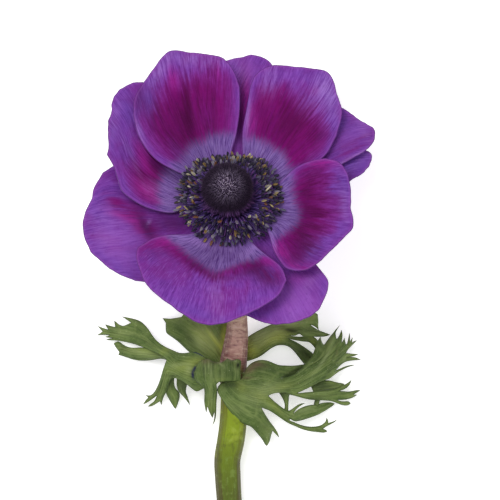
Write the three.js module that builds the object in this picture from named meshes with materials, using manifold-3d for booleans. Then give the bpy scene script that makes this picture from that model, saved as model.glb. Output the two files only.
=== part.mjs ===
// Cut anemone flower (Anemone coronaria), laid on a flat surface.
// Millimetres, +Z up. The head faces up and leans towards +Y, the stem runs towards -Y along the surface.
import * as THREE from 'three';
import Module from 'manifold-3d';

const wasm = await Module();
wasm.setup();

// ---------------------------------------------------------------- driving dimensions
const AXIS_LEAN = THREE.MathUtils.degToRad(30); // lean of the head's axis from vertical, towards +Y
const HEAD_HEIGHT = 21.02; // base of the head above the surface
const HEAD_X = 0.05; // base of the head, from the middle of the whole flower's box
const HEAD_Y = 57.75;
const CLAW_RADIUS = 5.3; // where the tepals leave the receptacle
const CLAW_HALF = 2.2; // half width of a tepal's claw
const TEPAL_THICK = 0.66;
const TEPAL_COLS = 14;
const TEPAL_ROWS = 9;
const RECEPTACLE_RADIUS = 4.95;
const DOME_RADIUS = 8.1;
const DOME_HEIGHT = 12.2; // middle of the pistil cluster above the head's base
const STAMEN_COLUMNS = 40; // stamens round the ring in each of three tiers
const STAMEN_SEED = 7;
const LEAF_THICK = 0.66;
const STEM_SIDES = 14;

const lean = { sin: Math.sin(AXIS_LEAN), cos: Math.cos(AXIS_LEAN) };

// A point of the head: across, up the leaning disc and along the head's own axis, laid on the surface.
function headPoint(across, up, along) {
  const y = up * lean.cos + along * lean.sin;
  const z = HEAD_HEIGHT - up * lean.sin + along * lean.cos;
  return new THREE.Vector3(HEAD_X + across, HEAD_Y + y, z);
}

// A point given by its place in plan from the head's base, and its height above the surface.
function laidPoint(x, y, z) {
  return new THREE.Vector3(HEAD_X + x, HEAD_Y + y, z);
}

function smooth(t) {
  const c = Math.min(1, Math.max(0, t));
  return c * c * (3 - 2 * c);
}

// Seeded random numbers from 0 to 1.
function makeRandom(seed) {
  let state = seed >>> 0;
  return () => {
    state = (state + 0x6d2b79f5) >>> 0;
    let t = Math.imul(state ^ (state >>> 15), 1 | state);
    t = (t + Math.imul(t ^ (t >>> 7), 61 | t)) ^ t;
    return ((t ^ (t >>> 14)) >>> 0) / 4294967296;
  };
}

function toGeometry(points, faces) {
  const geometry = new THREE.BufferGeometry();
  const flat = [];
  for (const p of points) flat.push(p.x, p.y, p.z);
  geometry.setAttribute('position', new THREE.Float32BufferAttribute(flat, 3));
  geometry.setIndex(faces.flat());
  geometry.computeVertexNormals();
  return geometry;
}

// ---------------------------------------------------------------- thin sheets
// A sheet is a list of points with triangles on its upper face. It is given its thickness
// along the mean normals, alike on both faces, and a rim round every free edge.
function thicken(points, faces, thickness) {
  const normals = points.map(() => new THREE.Vector3());
  const ab = new THREE.Vector3();
  const ac = new THREE.Vector3();
  for (const [a, b, c] of faces) {
    ab.subVectors(points[b], points[a]);
    ac.subVectors(points[c], points[a]);
    ab.cross(ac);
    for (const k of [a, b, c]) normals[k].add(ab);
  }
  const count = points.length;
  const solid = [];
  for (let side = 0; side < 2; side++) {
    const shift = (side === 0 ? 0.5 : -0.5) * thickness;
    points.forEach((p, k) => {
      solid.push(p.clone().addScaledVector(normals[k].clone().normalize(), shift));
    });
  }
  const triangles = [];
  const edges = new Map();
  for (const [a, b, c] of faces) {
    triangles.push([a, b, c], [c + count, b + count, a + count]);
    for (const [u, v] of [[a, b], [b, c], [c, a]]) edges.set(`${u},${v}`, [u, v]);
  }
  for (const [u, v] of edges.values()) {
    if (!edges.has(`${v},${u}`)) {
      triangles.push([v, u, u + count], [v, u + count, v + count]);
    }
  }
  return toGeometry(solid, triangles);
}

// ---------------------------------------------------------------- tepals
// Each layer of tepals is a shallow bowl round the head's axis: height at the claw, and the rise to the margin.
const LAYERS = [
  { claw: 3.2, rise: 9.0 },
  { claw: 2.0, rise: 7.4 },
  { claw: 0.8, rise: 5.3 },
  { claw: -0.4, rise: 3.2 },
];

function bowl(layer, radius) {
  return layer.claw + layer.rise * smooth((radius - 9) / 34);
}

// Outlines run from one corner of the claw round the margin to the other corner: place in plan from the
// head's base, and lift above the layer's bowl. sides tells at which points the side edges end.
const TEPALS = [
  {
    name: 'tepal_inner_1', azimuth: 112, layer: 0, sides: [3, 12], sag: 0.4, ruffle: 0.35, phase: 0.4,
    outline: [
      [-0.6, 12, 0], [2, 22.8, 0], [2.9, 29.8, 0.3], [2.9, 36.3, 0.5], [0.9, 41.5, 0.4], [-2.6, 45.3, 0],
      [-10.8, 47.1, -0.4], [-17.9, 47.5, 0.1], [-20, 46, 0.5], [-22.4, 43, 0.8], [-25.8, 38.3, 1], [-28.7, 33.2, 0.9],
      [-29.1, 27.4, 0.8], [-27.3, 20.9, 0.6], [-22.6, 14.5, 0.3], [-13.6, 9.4, 0],
    ],
  },
  {
    name: 'tepal_inner_2', azimuth: 52, layer: 1, sides: [3, 12], sag: 0.3, ruffle: 0.35, phase: 1.6,
    outline: [
      [3.6, 14, 0], [3.7, 22.6, 0], [4.9, 29.8, 0.2], [6.1, 36.8, 0.4], [7.9, 40.3, 0.5], [12.5, 42.9, 0.6],
      [18.3, 43.1, 0.4], [25.2, 42, 0], [29.4, 41.1, -0.3], [31.2, 38.6, -0.2], [32.4, 34.2, 0.2], [33.8, 28.4, 0.3],
      [32, 21.4, -0.2], [28.6, 16, -0.6], [21, 11.6, -0.3], [14, 8.6, 0],
    ],
  },
  {
    name: 'tepal_inner_3', azimuth: 350, layer: 0, sides: [3, 11], sag: 0.5, ruffle: 0.35, phase: 2.2,
    outline: [
      [13, 6, 0], [19.8, 11.8, 0.2], [24.4, 13.9, 0.4], [29, 14.6, 0.5], [33, 13, 0.4], [35.6, 8.6, 0.2],
      [36.6, 1, 0], [36.9, -3.6, 0.1], [35.8, -6.6, 0.3], [32.1, -10.7, 0.4], [26.1, -16.6, 0.3], [20.8, -19, 0.2],
      [16.9, -18.2, 0], [13.5, -14.2, 0], [11.4, -8, 0],
    ],
  },
  {
    name: 'tepal_inner_4', azimuth: 257, layer: 0, sides: [3, 13], sag: 0.4, ruffle: 0.35, phase: 3.4,
    outline: [
      [-11.6, -8, 0], [-17.5, -8.4, 0.1], [-22.4, -9.4, 0.3], [-27.2, -12.3, 0.5], [-27.6, -14.8, 0.5],
      [-26.5, -18.7, 0.3], [-24.2, -23.2, 0.1], [-19.6, -27.4, 0], [-10.4, -33.6, -0.2], [-4.4, -34.6, -0.2],
      [3.8, -32.4, 0], [10, -29.3, 0.4], [14.6, -25.8, 0.6], [16.8, -21.4, 0.6], [15.2, -17.8, 0.4], [8.8, -12.6, 0],
    ],
  },
  {
    name: 'tepal_inner_5', azimuth: 156, layer: 1, sides: [4, 9], sag: 0.5, ruffle: 0.35, phase: 4.4,
    outline: [
      [-10.4, 9.8, -0.2], [-16, 16, -0.3], [-20.6, 24, -0.3], [-22.4, 32, -0.2], [-26.4, 37.3, 0], [-31.4, 37.2, 0.3],
      [-34.7, 34.2, 0.4], [-36.5, 28, 0.3], [-36.8, 20.4, 0.1], [-36.6, 15.6, 0], [-33.8, 8.8, 0.2],
      [-30.6, 3.4, 0.4], [-25, -0.2, 0.3], [-18, -1.8, 0], [-11.6, -0.4, 0],
    ],
  },
  {
    name: 'tepal_outer_1', azimuth: 194, layer: 2, sides: [3, 10], sag: 0.3, ruffle: 0.4, phase: 5.1,
    outline: [
      [-13, 3, 0], [-23, 8.6, -0.2], [-34.6, 12, 0], [-38.8, 8.4, 0.2], [-41.5, 2.6, 0.2], [-43.4, -1.6, 0],
      [-43.9, -6.4, 0], [-42.9, -10.8, 0.1], [-40.6, -14, 0.2], [-33.4, -19.7, 0.2], [-28.4, -21.8, 0],
      [-21, -22, -0.6], [-14, -15, -0.4], [-9, -7, 0],
    ],
  },
  {
    name: 'tepal_outer_2', azimuth: 82, layer: 2, sides: [3, 9], sag: 0.3, ruffle: 0.3, phase: 0.9,
    outline: [
      [-3, 15, 0], [-5.6, 26, -0.4], [-6.4, 36, -0.5], [-3, 44.6, -0.6], [3.4, 45.8, -0.65], [6.4, 46.6, -0.65],
      [9.6, 46.2, -0.6], [12.9, 43.4, -0.5], [14.8, 37.4, -0.5], [12.6, 27, -0.5], [7.6, 15, 0],
    ],
  },
  {
    name: 'tepal_outer_3', azimuth: 28, layer: 2, sides: [3, 8], sag: 0.2, ruffle: 0.3, phase: 2.9,
    outline: [
      [10, 12, 0], [19, 21.5, -0.4], [27.6, 29.4, -0.6], [34, 30, -0.2], [39.4, 26.4, 0], [43.4, 23.4, 0.3],
      [43.6, 20.8, 0.5], [40.6, 16.8, 0.2], [33.8, 13, -0.6], [24, 8.6, -0.6], [14, 5, -0.2],
    ],
  },
  {
    name: 'tepal_outer_4', azimuth: 12, layer: 3, sides: [3, 8], sag: 0.2, ruffle: 0.3, phase: 4.0,
    outline: [
      [13, 6.6, 0], [24, 13, 0], [33, 18, 0.2], [39, 17.8, 0.4], [42.5, 16.4, 0.5], [42.4, 13.4, 0.4],
      [40.4, 10.6, 0.2], [36.4, 8, 0], [32, 2, -0.2], [24, -2.6, -0.2], [13, -1.6, 0],
    ],
  },
  {
    name: 'tepal_outer_5', azimuth: 303, layer: 2, sides: [2, 11], sag: 0.3, ruffle: 0.35, phase: 5.7,
    outline: [
      [12.6, -6.4, 0], [22, -12.8, -0.2], [25.8, -17.5, 0], [29, -21.8, 0.2], [29, -24.6, 0.2], [27.9, -27.4, 0.2],
      [25.9, -30.6, 0.2], [22.6, -32.9, 0.1], [18.6, -34.4, 0], [14, -34.7, -0.2], [9.4, -33.9, -0.3], [4, -32, -0.6],
      [1.4, -22, -0.6], [2.8, -11, -0.2],
    ],
  },
];

// Solves a place in plan and a lift for the point of the leaning disc under it.
function onBowl(layer, x, y, lift) {
  let along = layer.claw;
  let up = 0;
  for (let k = 0; k < 12; k++) {
    up = (y - along * lean.sin) / lean.cos;
    along = bowl(layer, Math.hypot(x, up)) + lift;
  }
  return new THREE.Vector3(x, up, lift);
}

function tepalPoints(spec) {
  const layer = LAYERS[spec.layer];
  const angle = THREE.MathUtils.degToRad(spec.azimuth);
  const axis = new THREE.Vector2(Math.cos(angle), Math.sin(angle));
  const claw = (side) => new THREE.Vector3(
    axis.x * CLAW_RADIUS - axis.y * CLAW_HALF * side,
    axis.y * CLAW_RADIUS + axis.x * CLAW_HALF * side,
    0,
  );
  const knots = spec.outline.map(([x, y, lift]) => onBowl(layer, x, y, lift));
  // The outline is listed clockwise or counterclockwise, so its first claw corner is the nearer one.
  const first = claw(1).distanceTo(knots[0]) < claw(-1).distanceTo(knots[0]) ? 1 : -1;
  const [endA, endB] = spec.sides;
  const sideA = new THREE.CatmullRomCurve3([claw(first), ...knots.slice(0, endA + 1)], false, 'centripetal');
  const margin = new THREE.CatmullRomCurve3(knots.slice(endA, endB + 1), false, 'centripetal');
  const sideB = new THREE.CatmullRomCurve3([claw(-first), ...knots.slice(endB).reverse()], false, 'centripetal');
  const corners = [sideA.getPoint(0), sideB.getPoint(0), sideA.getPoint(1), sideB.getPoint(1)];
  const rows = [];
  for (let r = 0; r <= TEPAL_ROWS; r++) {
    const s = r / TEPAL_ROWS;
    const left = sideA.getPointAt(s);
    const right = sideB.getPointAt(s);
    const row = [];
    for (let c = 0; c <= TEPAL_COLS; c++) {
      const a = c / TEPAL_COLS;
      const low = corners[0].clone().lerp(corners[1], a);
      const high = margin.getPointAt(a);
      const point = new THREE.Vector3();
      point.addScaledVector(low, 1 - s).addScaledVector(high, s);
      point.addScaledVector(left, 1 - a).addScaledVector(right, a);
      point.addScaledVector(corners[0], -(1 - s) * (1 - a)).addScaledVector(corners[1], -(1 - s) * a);
      point.addScaledVector(corners[2], -s * (1 - a)).addScaledVector(corners[3], -s * a);
      const across = 2 * a - 1;
      const sag = -spec.sag * Math.sin(Math.PI * s) * (1 - across * across);
      const fold = -0.35 * Math.exp(-((across / 0.16) ** 2)) * Math.sin(Math.PI * Math.min(1, s * 1.15));
      const ruffle = spec.ruffle * s * s * Math.sin(across * 8.5 + spec.phase);
      const along = bowl(layer, Math.hypot(point.x, point.y)) + point.z + sag + fold + ruffle;
      row.push(headPoint(point.x, point.y, along));
    }
    rows.push(row);
  }
  return { rows, first };
}

function gridFaces(rowCount, colCount, flip) {
  const faces = [];
  for (let r = 0; r < rowCount; r++) {
    for (let c = 0; c < colCount; c++) {
      const a = r * (colCount + 1) + c;
      const b = a + 1;
      const d = a + colCount + 1;
      const e = d + 1;
      if (flip) faces.push([a, d, b], [b, d, e]);
      else faces.push([a, b, d], [b, e, d]);
    }
  }
  return faces;
}

// ---------------------------------------------------------------- stem, pedicel and receptacle
// Centre line from the head's base down the pedicel's bend and along the surface to the cut end:
// place in plan from the head's base, height and radius.
const STEM_LINE = [
  [0, -1.7, 18.1, 3.0], [0, -3.9, 15.0, 2.9], [0.2, -6.5, 12.3, 2.9], [0.5, -9.6, 10.1, 2.9], [0.8, -13, 8.6, 2.9],
  [1.2, -16.6, 7.6, 2.9], [1.6, -21, 7.2, 2.9], [1.9, -28, 7.2, 2.95], [2.1, -33.9, 7.2, 3.0],
  [2.1, -38.1, 7.2, 3.25], [1.7, -43.5, 7.3, 3.5], [1.2, -47.5, 7.4, 3.8], [1.0, -51.3, 7.5, 3.95],
  [1.1, -57, 7.4, 3.8], [0.95, -65.4, 6.9, 3.95], [0.3, -71.1, 6.3, 4.05], [-0.6, -76.5, 5.8, 3.9],
  [-0.5, -82, 5.4, 3.65], [-0.2, -88, 5.0, 3.6], [0.6, -98, 4.5, 3.6], [1.5, -109, 4.1, 3.65],
  [2, -121, 3.8, 3.7], [2, -134, 3.6, 3.65], [1.5, -147, 3.52, 3.6], [0.8, -157, 3.52, 3.6], [0.3, -163, 3.52, 3.6],
];
// Receptacle on top of the pedicel: height along the head's axis, and share of its full radius.
const RECEPTACLE = [[4.7, 0.89], [4.35, 1], [1.8, 1], [-0.9, 1], [-1.6, 0.85]];

function stemGeometry() {
  const rings = RECEPTACLE.map(([along, share]) => {
    return { centre: headPoint(0, 0, along), radius: RECEPTACLE_RADIUS * share };
  });
  for (const [x, y, z, radius] of STEM_LINE) rings.push({ centre: laidPoint(x, y, z), radius });
  const points = [];
  const faces = [];
  const side = new THREE.Vector3(1, 0, 0);
  rings.forEach((ring, k) => {
    const before = rings[Math.max(0, k - 1)].centre;
    const after = rings[Math.min(rings.length - 1, k + 1)].centre;
    const run = after.clone().sub(before).normalize();
    const across = side.clone().addScaledVector(run, -side.dot(run)).normalize();
    const up = new THREE.Vector3().crossVectors(run, across);
    for (let c = 0; c < STEM_SIDES; c++) {
      const turn = (2 * Math.PI * c) / STEM_SIDES;
      const p = ring.centre.clone();
      p.addScaledVector(across, Math.cos(turn) * ring.radius);
      p.addScaledVector(up, Math.sin(turn) * ring.radius);
      points.push(p);
    }
  });
  for (let k = 0; k + 1 < rings.length; k++) {
    for (let c = 0; c < STEM_SIDES; c++) {
      const d = (c + 1) % STEM_SIDES;
      const a = k * STEM_SIDES;
      const b = a + STEM_SIDES;
      faces.push([a + c, a + d, b + c], [a + d, b + d, b + c]);
    }
  }
  const last = (rings.length - 1) * STEM_SIDES;
  points.push(rings[0].centre.clone(), rings[rings.length - 1].centre.clone());
  for (let c = 0; c < STEM_SIDES; c++) {
    const d = (c + 1) % STEM_SIDES;
    faces.push([points.length - 2, d, c], [points.length - 1, last + c, last + d]);
  }
  return toGeometry(points, orient(points, faces));
}

// Turns every face round if the closed mesh is inside out.
function orient(points, faces) {
  let volume = 0;
  for (const [a, b, c] of faces) {
    volume += points[a].dot(new THREE.Vector3().crossVectors(points[b], points[c]));
  }
  return volume < 0 ? faces.map(([a, b, c]) => [a, c, b]) : faces;
}

// ---------------------------------------------------------------- pistil cluster
const DOME_RINGS = 15;
const DOME_SIDES = 24;

function domeGeometry() {
  const points = [];
  const faces = [];
  const lowest = 5.35 - DOME_HEIGHT;
  const start = Math.acos(lowest / DOME_RADIUS);
  for (let r = 0; r <= DOME_RINGS; r++) {
    const polar = start * (1 - r / DOME_RINGS);
    for (let c = 0; c < DOME_SIDES; c++) {
      const turn = (2 * Math.PI * (c + (r % 2) * 0.5)) / DOME_SIDES;
      const proud = r > 1 && (c + Math.floor(r / 2)) % 2 === 0 ? 0.35 : 0;
      const radius = DOME_RADIUS - 0.15 + proud;
      const flat = Math.sin(polar) * radius;
      points.push(headPoint(Math.cos(turn) * flat, Math.sin(turn) * flat, DOME_HEIGHT + Math.cos(polar) * radius));
      if (r === DOME_RINGS) break;
    }
  }
  const base = points.length;
  points.push(headPoint(0, 0, 5.35));
  for (let r = 0; r < DOME_RINGS; r++) {
    for (let c = 0; c < DOME_SIDES; c++) {
      const d = (c + 1) % DOME_SIDES;
      const a = r * DOME_SIDES;
      const b = a + DOME_SIDES;
      if (r === DOME_RINGS - 1) faces.push([a + c, a + d, b]);
      else if (r % 2 === 0) faces.push([a + c, a + d, b + c], [a + d, b + d, b + c]);
      else faces.push([a + c, a + d, b + d], [a + c, b + d, b + c]);
    }
  }
  for (let c = 0; c < DOME_SIDES; c++) faces.push([base, (c + 1) % DOME_SIDES, c]);
  return toGeometry(points, orient(points, faces));
}

// ---------------------------------------------------------------- stamens
const STAMEN_RING = [[5.25, 4.0], [6.8, 4.0], [7.1, 4.4], [6.6, 5.2], [5.25, 5.5]];
const RING_SIDES = 30;
// Tiers of stamens: root radius and height, reach of the anther from the axis, its height, how much both vary,
// and the anther's half width and half depth.
const STAMEN_TIERS = [
  { root: [6.5, 4.45], reach: 15.1, height: 5.9, spread: 0.65, fat: [0.8, 0.5] },
  { root: [6.3, 4.8], reach: 13.1, height: 7.3, spread: 0.45, fat: [0.72, 0.48] },
  { root: [5.9, 5.05], reach: 11.5, height: 8.8, spread: 0.25, fat: [0.6, 0.44] },
];

function toSolid(points, faces) {
  const flat = new Float32Array(points.length * 3);
  points.forEach((p, k) => flat.set([p.x, p.y, p.z], k * 3));
  const index = new Uint32Array(faces.flat());
  return new wasm.Manifold(new wasm.Mesh({ numProp: 3, vertProperties: flat, triVerts: index }));
}

function fromSolid(solid) {
  const mesh = solid.getMesh();
  const geometry = new THREE.BufferGeometry();
  const points = [];
  for (let k = 0; k < mesh.vertProperties.length; k += mesh.numProp) {
    points.push(...mesh.vertProperties.slice(k, k + 3));
  }
  geometry.setAttribute('position', new THREE.Float32BufferAttribute(points, 3));
  geometry.setIndex(Array.from(mesh.triVerts));
  geometry.computeVertexNormals();
  return geometry;
}

function ringSolid() {
  const points = [];
  const faces = [];
  const corners = STAMEN_RING.length;
  for (let k = 0; k < RING_SIDES; k++) {
    const turn = (2 * Math.PI * k) / RING_SIDES;
    for (const [r, h] of STAMEN_RING) points.push(headPoint(Math.cos(turn) * r, Math.sin(turn) * r, h));
  }
  for (let k = 0; k < RING_SIDES; k++) {
    const a = k * corners;
    const b = ((k + 1) % RING_SIDES) * corners;
    for (let c = 0; c < corners; c++) {
      const d = (c + 1) % corners;
      faces.push([a + c, b + c, a + d], [a + d, b + c, b + d]);
    }
  }
  return toSolid(points, orient(points, faces));
}

// One stamen along a line of points: a slim filament, then an anther that is wider across than it is deep.
function stamenSolid(line, across, sizes) {
  const points = [];
  const faces = [];
  line.forEach((p, k) => {
    if (k === line.length - 1) {
      points.push(p);
      return;
    }
    const next = line[k + 1];
    const before = line[Math.max(0, k - 1)];
    const run = next.clone().sub(before).normalize();
    const depth = new THREE.Vector3().crossVectors(run, across).normalize();
    const [wide, deep] = sizes[k];
    for (const [u, v] of [[1, 0], [0, 1], [-1, 0], [0, -1]]) {
      points.push(p.clone().addScaledVector(across, u * wide).addScaledVector(depth, v * deep));
    }
  });
  for (let k = 0; k + 2 < line.length; k++) {
    for (let c = 0; c < 4; c++) {
      const d = (c + 1) % 4;
      faces.push([k * 4 + c, k * 4 + d, k * 4 + 4 + c], [k * 4 + d, k * 4 + 4 + d, k * 4 + 4 + c]);
    }
  }
  const last = (line.length - 2) * 4;
  for (let c = 0; c < 4; c++) faces.push([last + c, last + ((c + 1) % 4), last + 4]);
  faces.push([0, 2, 1], [0, 3, 2]);
  return toSolid(points, orient(points, faces));
}

function stamensGeometry() {
  const random = makeRandom(STAMEN_SEED);
  const solids = [ringSolid()];
  STAMEN_TIERS.forEach((tier, t) => {
    for (let k = 0; k < STAMEN_COLUMNS; k++) {
      const turn = (2 * Math.PI * (k + t / 3 + (random() - 0.5) * 0.2)) / STAMEN_COLUMNS;
      const reach = tier.reach + (k % 2 ? 1 : -1) * tier.spread + (random() - 0.5) * 0.3;
      const height = tier.height + (k % 2 ? -0.3 : 0.3) * tier.spread + (random() - 0.5) * 0.2;
      const spin = (random() - 0.5) * 0.9;
      const at = (r, h) => headPoint(Math.cos(turn) * r, Math.sin(turn) * r, h);
      const root = at(...tier.root);
      const low = at(reach - 2.1, height - 0.45);
      const fatLow = at(reach - 1.6, height - 0.25);
      const fatHigh = at(reach - 0.5, height + 0.15);
      const tip = at(reach + 0.3, height + 0.35);
      const across = new THREE.Vector3(-Math.sin(turn), Math.cos(turn) * lean.cos, -Math.cos(turn) * lean.sin);
      across.applyAxisAngle(tip.clone().sub(fatLow).normalize(), spin);
      const slim = [0.3, 0.3];
      solids.push(stamenSolid([root, low, fatLow, fatHigh, tip], across, [slim, slim, tier.fat, tier.fat]));
    }
  });
  return fromSolid(wasm.Manifold.union(solids).simplify(0.02));
}

// ---------------------------------------------------------------- leaves of the whorl
// Leaves are listed on a drawing grid with steps of 0.3 mm. Its point 230, 207 is the head's base, its second
// number grows towards the stem's cut end, and the third is the height above the surface in mm.
const GRID_STEP = 0.3;
const GRID_ZERO = [230, 207];
// A strip runs outwards row by row. A row lists points with the column where each one sits, or only its two
// ends, and one single point is a pointed tip. Strips at the end of a strip share its last row between them.
const LEAF_RIGHT = {
  cols: 19,
  rows: [
    [[0, 220.5, 387.5, 12.3], [9, 231, 387, 12.4], [14, 240.6, 385, 12.3], [19, 242.6, 378, 12.2]],
    [[0, 221, 396, 12.3], [6, 235, 394, 12.5], [12, 245, 386, 12.4], [19, 248, 370, 12.6]],
    [[0, 228, 410, 12.2], [6, 247, 398, 12.2], [12, 255, 383, 12.0], [19, 259, 360.5, 12.2]],
    [[0, 243, 423.5, 11.0], [3, 262, 408, 10.2], [7, 268, 396, 10.6], [13, 272, 381, 11.2], [19, 275, 364.5, 11.6]],
  ],
  kids: [
    {
      cols: 3,
      rows: [
        [[255.5, 431.5, 8.6], [268, 418, 8.2]],
        [[0, 262, 439, 6.6], [2, 271.5, 431.5, 6.6], [3, 274.5, 429, 6.4]],
      ],
      kids: [
        { cols: 2, rows: [[[267, 445.5, 4.8]]] },
        { cols: 1, rows: [[[278.5, 437.5, 4.6]]] },
      ],
    },
    {
      cols: 4,
      rows: [
        [[272, 413.5, 9.4], [277, 402, 9.6]],
        [[0, 283, 421, 7.8], [2, 286, 418, 7.9], [4, 288, 410.5, 8.2]],
      ],
      kids: [
        {
          cols: 2,
          rows: [
            [[294, 427.2, 6.2], [295, 423.6, 6.2]],
            [[306, 430.4, 4.4], [307, 427, 4.4]],
            [[0, 317, 432, 3], [1, 319, 429.6, 3], [2, 320, 426.4, 3]],
          ],
          kids: [
            { cols: 1, rows: [[[327, 432, 1.6]]] },
            { cols: 1, rows: [[[324.6, 427, 2.4], [326.4, 423.4, 2.4]], [[337, 419.5, 1]]] },
          ],
        },
        {
          cols: 2,
          rows: [
            [[297, 422.2, 6.4], [298, 409.4, 6.8]],
            [[312, 418.2, 4.6], [310, 405.2, 5]],
            [[325, 411.4, 2.8], [321, 402, 3.2]],
            [[333.5, 404, 1.6]],
          ],
        },
      ],
    },
    {
      cols: 12,
      rows: [
        [[0, 281, 394.5, 9.8], [1, 289, 394.6, 9.4], [4, 296.5, 392.4, 9], [8, 299, 380, 9.6], [12, 302, 365.4, 10]],
      ],
      kids: [
        { cols: 1, rows: [[[285.5, 402, 8.8], [289.4, 402, 8.8]], [[286, 408, 8.6], [289, 408, 8.6]]] },
        {
          cols: 3,
          rows: [
            [[304, 398, 7.8], [305, 392.6, 7.8]],
            [[317, 401, 5.8], [317, 391.6, 6]],
            [[0, 334, 402, 3.4], [1, 338, 398, 3.4], [2, 337, 392, 3.6], [3, 331, 390, 3.8]],
          ],
          kids: [
            { cols: 1, rows: [[[343, 406.5, 1.8], [346, 401.4, 1.8]], [[350, 403.6, 1]]] },
            { cols: 1, rows: [[[350, 398.4, 1.6], [350, 392.2, 1.7]], [[360.5, 391, 0.4]]] },
            { cols: 1, rows: [[[344.5, 388.6, 2.4], [342.5, 385.6, 2.5]], [[351.5, 380, 1.6]]] },
          ],
        },
        {
          cols: 8,
          rows: [
            [[0, 311, 387.6, 8.2], [4, 311.4, 374, 8.8], [8, 311.8, 357, 8.6]],
            [[0, 322, 382, 7], [4, 325, 366, 7.6], [6, 323, 354, 7.6], [8, 316.6, 349, 7.2]],
            [
              [0, 330.5, 378, 5.8], [1, 337, 369, 5.6], [2, 344, 359, 5.2], [3, 347, 352.6, 5.2], [4, 347.6, 345, 5.4],
              [5, 342, 343, 5.8], [6, 336, 339, 6.2], [7, 325, 344.6, 6.8], [8, 316.8, 344.6, 6.8],
            ],
          ],
          kids: [
            { cols: 1, rows: [[[340, 373, 4.8], [341.5, 369.4, 4.8]], [[354.5, 365, 3]]] },
            { cols: 1, rows: [[[348.5, 362, 4.4], [351, 357.4, 4.4]], [[361, 360, 3]]] },
            { cols: 1, rows: [[[358, 354.6, 3.2]]] },
            { cols: 1, rows: [[[357, 340.6, 3.4]]] },
            { cols: 1, rows: [[[349.6, 333.6, 4.4]]] },
            { cols: 1, rows: [[[341, 330.6, 5.2]]] },
            { cols: 1, rows: [[[335.6, 334, 5.8], [330.4, 335.6, 6.2]], [[339.4, 326.4, 5]]] },
            { cols: 1, rows: [[[319.4, 337.4, 6.2]]] },
          ],
        },
      ],
    },
  ],
};
const LEAF_LEFT = {
  cols: 19,
  rows: [
    [[0, 239.5, 381.5, 12.2], [10, 239.5, 372, 12.8], [19, 238.5, 363, 12.2]],
    [[0, 228, 383, 12.2], [10, 229, 371, 12.9], [19, 228, 360, 12.2]],
    [[0, 217, 383.5, 12.2], [3, 208, 386, 12.0], [10, 216, 372, 12.8], [19, 214, 359.6, 12.2]],
    [[0, 216, 388, 11.6], [3, 204, 388.6, 11.2], [10, 200, 372, 12], [19, 201, 355, 11.4]],
  ],
  kids: [
    {
      cols: 3,
      rows: [
        [[216.6, 397, 10.2], [204.4, 398.4, 10]],
        [[0, 215.6, 408, 8.2], [1, 213, 410.4, 8], [2, 208.8, 409, 8], [3, 205.4, 406, 8.2]],
      ],
      kids: [
        { cols: 1, rows: [[[215.4, 417, 6.4], [213.8, 416, 6.4]], [[212.6, 425, 5]]] },
        { cols: 1, rows: [[[212.6, 418.4, 6.6]]] },
        { cols: 1, rows: [[[206.4, 412.6, 7]]] },
      ],
    },
    {
      cols: 16,
      rows: [
        [[0, 195, 391, 9.8], [8, 191, 371, 10.4], [16, 192, 352, 9.8]],
        [[0, 186, 385.4, 8.6], [2, 180, 382, 8], [4, 173, 379.4, 7.4], [8, 165.5, 361, 7.8], [16, 177, 353, 8.8]],
      ],
      kids: [
        { cols: 2, rows: [[[186.4, 394, 5.6], [180.4, 393, 5.4]], [[189.4, 405.6, 2.6]]] },
        {
          cols: 6,
          rows: [
            [[0, 175.4, 388, 5.6], [2, 166.6, 389, 5.4], [6, 157.4, 387, 5.4]],
          ],
          kids: [
            { cols: 2, rows: [[[180, 397.4, 3.6], [169, 398.4, 3.6]], [[175.4, 408.4, 1.6]]] },
            {
              cols: 4,
              rows: [[[0, 163.4, 398, 3.6], [1, 159.4, 399.6, 3.4], [3, 155.2, 397, 3.4], [4, 152.4, 395.6, 3.6]]],
              kids: [
                { cols: 1, rows: [[[161.6, 405, 2.4]]] },
                { cols: 2, rows: [[[156.4, 403.4, 2.2], [153.4, 401, 2.2]], [[148.4, 406.6, 0.8]]] },
                { cols: 1, rows: [[[150, 401.4, 2.2], [147.4, 398, 2.2]], [[143.4, 404.6, 0.6]]] },
              ],
            },
          ],
        },
        {
          cols: 8,
          rows: [
            [[0, 156, 359.4, 6.2], [3, 156.4, 352, 6.6], [8, 163, 347.4, 7.4]],
            [[0, 143, 361, 4.6], [3, 142.6, 347.6, 5], [8, 154, 338.6, 6]],
          ],
          kids: [
            {
              cols: 3,
              rows: [
                [[131, 359, 3.4], [128, 348, 3.6]],
                [[0, 118.4, 355, 1.8], [1, 117, 351, 1.8], [2, 113.6, 343.6, 1.6], [3, 119.6, 341.6, 2.4]],
              ],
            },
            {
              cols: 5,
              rows: [
                [[131, 344, 3.6], [144, 325, 4.4]],
                [[0, 122, 341.4, 2.4], [4, 126, 325, 3], [5, 134, 319.4, 3.4]],
              ],
              kids: [
                {
                  cols: 4,
                  rows: [
                    [[0, 117, 339.8, 2], [1, 113, 337, 1.6], [2, 111, 332.4, 1.4], [3, 112.6, 328.4, 1.6], [4, 120, 326.6, 2.4]],
                  ],
                  kids: [
                    { cols: 1, rows: [[[105.6, 340, 0.8]]] },
                    { cols: 1, rows: [[[105.4, 333.6, 0.9], [106, 332, 1]], [[97, 335.4, 0.36]]] },
                    { cols: 1, rows: [[[105.6, 330.4, 1], [106.4, 327.6, 1]], [[97.4, 326.2, 0.4]]] },
                    { cols: 1, rows: [[[113.8, 320.4, 1.2]]] },
                  ],
                },
                { cols: 1, rows: [[[121.6, 316.6, 2.2]]] },
              ],
            },
          ],
        },
      ],
    },
  ],
};
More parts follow.
